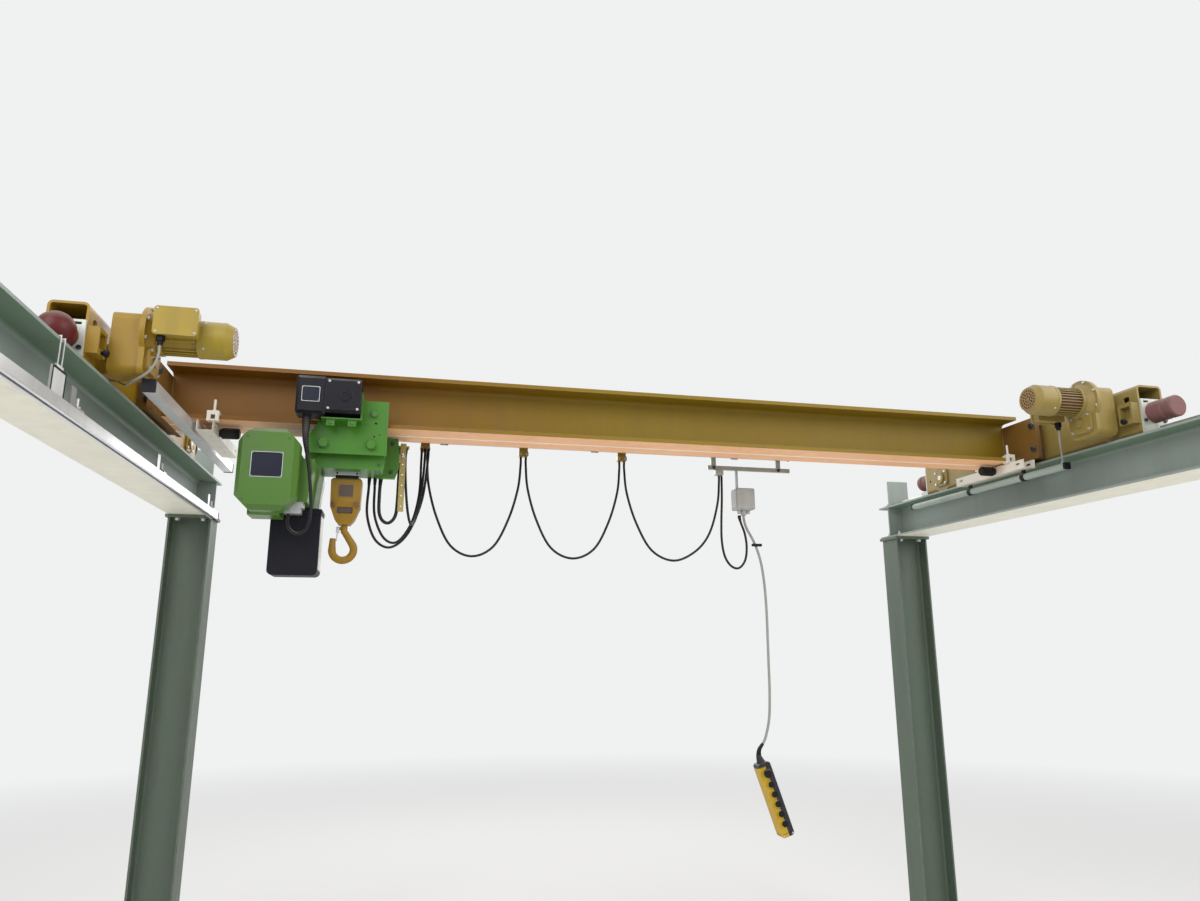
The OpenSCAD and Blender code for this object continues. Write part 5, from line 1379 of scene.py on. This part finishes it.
@dataclass
class Festoon:
    """The cable line along the girder and the control that hangs from it."""

    arms: tuple[float, ...] = (-1.500, -0.800, -0.100, 0.600)
    web_plate_y: float = CRANE_Y + 0.01075
    rail_ends: tuple[float, float] = (-1.620, 0.880)
    rail_z: float = 2.512
    carriers: tuple[float, ...] = (-0.884, -0.440, 0.027)
    saddle_z: float = 2.463
    lean: float = -19.0
    control: tuple[float, float] = (0.722, 0.932)
    bar_bolts: tuple[float, float] = (0.485, 0.820)
    bar_bolt_z: float = 2.442
    box_screw_xs: tuple[float, float] = (0.595, 0.669)
    box_screw_zs: tuple[float, float] = (2.250, 2.332)
    arm_bolt_zs: tuple[float, float] = (2.549, 2.587)

    def build(self, frame: dict) -> None:
        """Dresses the cable line and fits its screws.
        """
        dress(frame, ZINC, "festoon_rail", "festoon_arms", "pendant_bar")
        dress(frame, BRASS, "carrier_1", "carrier_2", "carrier_3")
        dress(frame, GREY_PLASTIC, "junction_box")
        dress(frame, CONTROL, "pendant_control")
        dress(frame, BLACK_PLASTIC, "pendant_buttons")
        self.fit_screws()
        self.fit_control()

    def fit_screws(self) -> None:
        """Fits the bolts of the arms, the bar, the box and the carriers, and caps the rail."""
        xs = [x + s * 0.017 for x in self.arms for s in (-1, 1)]
        Bolt.M8.head().at(*spots(xs, [self.web_plate_y], self.arm_bolt_zs), axis=Axis.PLUS_Y).piece(
            "arm_bolts", ZINC, "bridge")
        Bolt.M8.head().at(*spots(self.bar_bolts, [CRANE_Y + FESTOON_Y - 0.007], [self.bar_bolt_z]),
                          axis=Axis.MINUS_Y).piece("bar_bolts", BLUED, "bridge")
        Bolt.M5.dome().at(*spots(self.box_screw_xs, [CRANE_Y + FESTOON_Y - 0.034], self.box_screw_zs),
                          axis=Axis.MINUS_Y).piece("box_screws", ZINC, "bridge")
        cap = slab(rounded(0.036, 0.036, 0.004), 0.006, 0.0012)
        low, high = self.rail_ends
        Shape.join([
            cap.at((low, CRANE_Y + FESTOON_Y, self.rail_z), axis=Axis.MINUS_X),
            cap.at((high, CRANE_Y + FESTOON_Y, self.rail_z), axis=Axis.PLUS_X),
        ]).piece("rail_caps", BLACK_PLASTIC, "bridge")
        for number, x in enumerate(self.carriers, start=1):
            places = spots([x - 0.014, x + 0.014], [CRANE_Y + FESTOON_Y - 0.013], [self.saddle_z])
            Bolt.M5.head().at(*places, axis=Axis.MINUS_Y).piece(
                f"carrier_{number}_screws", ZINC, f"festoon_carrier_{number}")

    def fit_control(self) -> None:
        """Adds the end caps' seam and the case screws of the pendant control, on its leaning axis."""
        middle = (self.control[0], CRANE_Y + FESTOON_Y, self.control[1])
        seams = [border(0.063, 0.057, 0.010, 0.002, 0.0016).at((0, 0, h)) for h in (0.1475, -0.150)]
        screws = Bolt.M5.dome().at(*spots([-0.023, 0.023], [0.0], [-0.157]), axis=Axis.MINUS_Y)
        Shape.join(seams).spun(self.lean).at(middle).piece("control_seams", BLACK_RUBBER, "bridge")
        screws.at((0, -0.028, 0)).spun(self.lean).at(middle).piece("control_screws", ZINC, "bridge")


@dataclass
class Hoist:
    """The trolley, the chain hoist and its hook."""

    x: float = -1.190
    plate_face: float = 0.136
    rod_z: float = 2.371
    wheel_z: float = 2.4963
    cover_y: float = CRANE_Y - 0.355
    cover_x: float = -1.445
    cover_z: float = 2.222
    motor_x: float = -1.328
    motor_y: float = CRANE_Y - 0.2363
    motor_z: float = 2.538
    second_x: float = -1.210
    second_y: float = CRANE_Y - 0.2263
    second_z: float = 2.543
    block_top: float = 2.2567
    pivot: tuple[float, float] = (-1.214, 2.057)
    fall: float = 0.030
    wire: float = 0.007
    link_pitch: float = 0.021
    link_width: float = 0.0231
    rod_x: float = 0.090
    axle_x: float = 0.095
    frame_bolt_x: float = 0.122
    frame_bolt_y: float = 0.095
    frame_bolt_z: float = 2.302
    cover_screw: tuple[float, float] = (0.070, 0.112)
    motor_screw: float = 0.054
    boss_x: float = 0.043
    boss_face: float = 0.039
    boss_fall: float = 0.106

    def build(self, frame: dict) -> None:
        """Dresses the hoist and fits its screws and plates.
        """
        dress(frame, LIME, "trolley_side_plates", "trolley_frame")
        dress(frame, COVER_GREEN, "hoist_body", "hoist_cover")
        dress(frame, BLACK_PAINT, "trolley_motor")
        dress(frame, ZINC, "trolley_wheels", "hoist_plug", "chain_guide")
        dress(frame, BLACK_PLASTIC, "chain_container")
        dress(frame, BAR_YELLOW, "tow_arm")
        dress(frame, HOOK, "hook_block", "hook")
        dress(frame, BLACK_RUBBER, "block_bumper")
        dress(frame, ZINC, "latch")
        self.fit_trolley()
        self.fit_covers()
        self.fit_block()
        self.hang_chain(frame)

    def hang_chain(self, frame: dict) -> None:
        """Hangs both falls of the load chain between the trolley and the block.

        Formula: a fall is laid as a row of true links over h + L, h being its length at rest and L the lift,
        then drawn together into h.
        """
        low, high = (corner[2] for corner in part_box("chain"))
        lift = next(joint for joint in frame["joints"] if joint["name"] == "hook_lift")["range_m"][1]
        rest = high - low
        whole = rest + lift
        size = self.link_pitch + 2 * self.wire
        count = int((whole - size) / self.link_pitch) + 1
        zs = high - size / 2 - np.linspace(0, whole - size, count)
        falls = [self.x - self.fall, self.x + self.fall]
        link = chain_link(self.link_pitch, self.link_width, self.wire)
        links = Shape.join([
            link.at(*spots(falls, [CRANE_Y], zs[::2])),
            link.spun(90, Axis.PLUS_Z).at(*spots(falls, [CRANE_Y], zs[1::2])),
        ])
        t = np.linspace(0, 1, 4001)
        share = (t * rest + (3 * t**2 - 2 * t**3) * lift) / whole
        links.points[:, 2] = high - rest * np.interp((high - links.points[:, 2]) / whole, share, t)
        chain = links.piece("load_chain", ZINC, "", smooth=60)
        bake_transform(chain)
        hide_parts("chain")

    def fit_trolley(self) -> None:
        """Fits the nuts of the rods and axles, and the bolts of the shelf, frame, bracket and bar."""
        front, back = CRANE_Y - self.plate_face, CRANE_Y + self.plate_face
        rods = [self.x - self.rod_x, self.x + self.rod_x]
        nut = Bolt.M24.head()
        Shape.join([
            nut.at(*spots(rods, [front], [self.rod_z]), axis=Axis.MINUS_Y),
            nut.at(*spots(rods, [back], [self.rod_z]), axis=Axis.PLUS_Y),
        ]).piece("rod_nuts", LIME, "trolley")
        axle = Bolt.M16.nut(0.018)
        Shape.join([
            axle.at((self.x + self.axle_x, front, self.wheel_z), axis=Axis.MINUS_Y),
            axle.at(*spots([self.x - self.axle_x, self.x + self.axle_x], [back], [self.wheel_z]),
                    axis=Axis.PLUS_Y),
        ]).piece("axle_nuts", LIME, "trolley")
        Bolt.M6.head().at(*spots([self.x - 0.064, self.x + 0.016], [CRANE_Y - 0.1955], [2.440]),
                          axis=Axis.MINUS_Y).piece("shelf_bolts", LIME, "trolley")
        xs = [self.x - self.frame_bolt_x, self.x + self.frame_bolt_x]
        Shape.join([
            Bolt.M6.head().at(*spots(xs, [CRANE_Y - self.frame_bolt_y], [self.frame_bolt_z]),
                              axis=Axis.MINUS_Y),
            Bolt.M6.head().at(*spots(xs, [CRANE_Y + self.frame_bolt_y], [self.frame_bolt_z]),
                              axis=Axis.PLUS_Y),
            Bolt.M8.head().at(*spots([self.x + 0.168], [CRANE_Y + 0.034], [2.300, 2.420]), axis=Axis.MINUS_Y),
        ]).piece("frame_bolts", BLUED, "trolley")
        Bolt.M8.nut(0.012).at((self.x + 0.213, CRANE_Y + 0.046, 2.371), axis=Axis.MINUS_Y).piece(
            "bar_nut", ZINC, "trolley")
        Bolt.M5.dome().at(*spots([self.x - 0.038, self.x + 0.038], [CRANE_Y - 0.031], [2.275]),
                          axis=Axis.MINUS_Y).piece("guide_screws", BLUED, "trolley")

    def fit_covers(self) -> None:
        """Fits the covers' screws, the bare plates, the drive's cap and the container's side trim."""
        dx, dz = self.cover_screw
        Bolt.M6.dome().at(*spots([self.cover_x - dx, self.cover_x + dx], [self.cover_y],
                                 [self.cover_z - dz, self.cover_z + dz]),
                          axis=Axis.MINUS_Y).piece("cover_screws", COVER_GREEN, "trolley")
        bare_plate("hoist", (0.108, 0.092), (self.cover_x, self.cover_y + 0.0015, self.cover_z + 0.012),
                   "trolley", NAVY)
        bare_plate("motor", (0.066, 0.060), (self.motor_x, self.motor_y, self.motor_z), "trolley", NAVY)
        d = self.motor_screw
        Bolt.M6.dome().at(*spots([self.second_x - d, self.second_x + d], [self.second_y],
                                 [self.second_z - d, self.second_z + d]),
                          axis=Axis.MINUS_Y).piece("motor_screws", ZINC, "trolley")
        cap = turned([(0.0245, 0), (0.0245, 0.0025), (0.020, 0.0035), (0.013, 0.0035), (0.012, 0.0015),
                      (0.004, 0.0015)], 36)
        cap.at((self.second_x + 0.008, self.second_y + 0.004, self.second_z), axis=Axis.MINUS_Y).piece(
            "motor_cap", BLACK_PLASTIC, "trolley")
        trim = slab(rounded(0.104, 0.206, 0.010), 0.0016, 0.0005)
        trim.at((self.x - 0.080, CRANE_Y - 0.060, 1.987), axis=Axis.PLUS_X).piece(
            "container_side", WHITE_PLASTIC, "trolley")

    def fit_block(self) -> None:
        """Fits the hook block's bare plates and boss screws, and the latch's pin heads."""
        face = CRANE_Y - 0.034
        bare_plate("block", (0.058, 0.052), (self.x, face, self.block_top - 0.052), "lower_block",
                   BROWN_PLATE, rim=HOOK)
        bare_plate("block_low", (0.058, 0.024), (self.x, face + 0.0032, self.block_top - 0.130),
                   "lower_block", BROWN_PLATE, rim=BLACK_PAINT, lean=4.9)
        bosses = [self.x - self.boss_x, self.x + self.boss_x]
        z = self.block_top - self.boss_fall
        screw = Bolt.M12.hexagon(0.005)
        Shape.join([
            screw.at(*spots(bosses, [CRANE_Y - self.boss_face], [z]), axis=Axis.MINUS_Y),
            screw.at(*spots(bosses, [CRANE_Y + self.boss_face], [z]), axis=Axis.PLUS_Y),
        ]).piece("block_screws", ORANGE, "lower_block")
        x, z = self.pivot
        pin = turned([(0.0048, 0), (0.0048, 0.0010), (0.0036, 0.0016)], 16)
        Shape.join([
            pin.at((x, CRANE_Y - 0.0083, z), axis=Axis.MINUS_Y),
            pin.at((x, CRANE_Y + 0.0083, z), axis=Axis.PLUS_Y),
        ]).piece("latch_pin_heads", ZINC, "hook_latch")


@dataclass
class Studio:
    """Floor, light and camera."""

    floor: float = 60.0
    eye: Point = (-0.948, -1.700, 1.600)
    pitch: float = 102.98
    roll: float = 0.06
    yaw: float = -12.87
    lens: float = 25.506
    lamps: tuple = (((-4.0, -3.5, 5.5), 5.0, 260.0), ((4.5, -2.0, 5.0), 5.0, 200.0),
                    ((0.0, 6.5, 5.0), 5.0, 160.0))
    lit: Point = (0.0, 1.0, 1.6)
    backdrop: Point = (0.97, 0.975, 0.98)

    def build(self) -> None:
        """Makes the stage."""
        self.make_camera()
        self.make_floor()
        self.make_light()

    def make_camera(self) -> None:
        """Puts the camera where the photographer stood."""
        data = bpy.data.cameras.new("camera")
        data.sensor_width = 36.0
        data.lens = self.lens
        data.clip_start, data.clip_end = 0.05, 200.0
        camera = bpy.data.objects.new("camera", data)
        camera.location = self.eye
        camera.rotation_euler = Euler([math.radians(angle) for angle in (self.pitch, self.roll, self.yaw)])
        bpy.context.scene.collection.objects.link(camera)
        bpy.context.scene.camera = camera

    def make_floor(self) -> None:
        """Lays a plain pale floor that keeps the object's shadow."""
        half = self.floor / 2
        rows = np.array([[[-half, -half, 0], [half, -half, 0]], [[-half, half, 0], [half, half, 0]]], float)
        shape = Shape.grid(rows, ring=False)
        mesh = bpy.data.meshes.new("floor")
        mesh.from_pydata(shape.points.tolist(), [], shape.quads.tolist())
        floor = bpy.data.objects.new("floor", mesh)
        bpy.context.scene.collection.objects.link(floor)
        floor.data.materials.append(self.floor_material())

    def floor_material(self) -> bpy.types.Material:
        """Makes a pale matt floor that turns into the pale backdrop far away.

        Formula: the backdrop's share rises from 0 to 1 as the distance from the crane goes from 3 m to 12 m.

        Returns:
            The material.
        """
        material = bpy.data.materials.new("floor")
        material.use_nodes = True
        box = NodeBox(material.node_tree)
        box.tree.nodes.clear()
        place = box.add("ShaderNodeTexCoord").outputs["Object"]
        far = box.add("ShaderNodeVectorMath", {0: place}, operation="LENGTH").outputs["Value"]
        share = box.span(far, 3.0, 12.0)
        near = box.add("ShaderNodeBsdfPrincipled", {"Base Color": (0.80, 0.79, 0.77, 1.0), "Roughness": 0.8})
        pale = box.add("ShaderNodeEmission", {"Color": colour4(self.backdrop), "Strength": 0.9})
        mixed = box.add("ShaderNodeMixShader", {0: share, 1: near.outputs[0], 2: pale.outputs[0]})
        box.add("ShaderNodeOutputMaterial", {"Surface": mixed.outputs[0]})
        return material

    def make_light(self) -> None:
        """Lights the object from above and both sides with wide lamps, under a pale sky."""
        for number, (place, size, power) in enumerate(self.lamps):
            data = bpy.data.lights.new(f"lamp_{number}", "AREA")
            data.energy, data.size = power, size
            lamp = bpy.data.objects.new(f"lamp_{number}", data)
            lamp.location = place
            aim = Vector(self.lit) - Vector(place)
            lamp.rotation_euler = aim.to_track_quat("-Z", "Y").to_euler()
            bpy.context.scene.collection.objects.link(lamp)
        world = bpy.data.worlds.new("studio")
        bpy.context.scene.world = world
        world.use_nodes = True
        box = NodeBox(world.node_tree)
        box.tree.nodes.clear()
        path = box.add("ShaderNodeLightPath")
        seen = box.maths("MAXIMUM", path.outputs["Is Camera Ray"], path.outputs["Is Glossy Ray"])
        seen = box.maths("MAXIMUM", seen, path.outputs["Is Transmission Ray"])
        strength = box.span(seen, 0.0, 1.0, to=(0.55, 0.9))
        sky = box.add("ShaderNodeBackground", {"Color": colour4(self.backdrop), "Strength": strength})
        box.add("ShaderNodeOutputWorld", {"Surface": sky.outputs[0]})


def main() -> None:
    """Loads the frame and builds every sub-assembly in order."""
    logging.basicConfig(level=logging.INFO, format="%(name)s: %(message)s")
    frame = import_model()
    view = bpy.context.scene.view_settings
    view.view_transform = "Standard"
    Studio().build()
    Cords().build(frame)
    for assembly in (Runway(), Bridge(), Festoon(), Hoist()):
        assembly.build(frame)


if __name__ == "__main__":
    main()
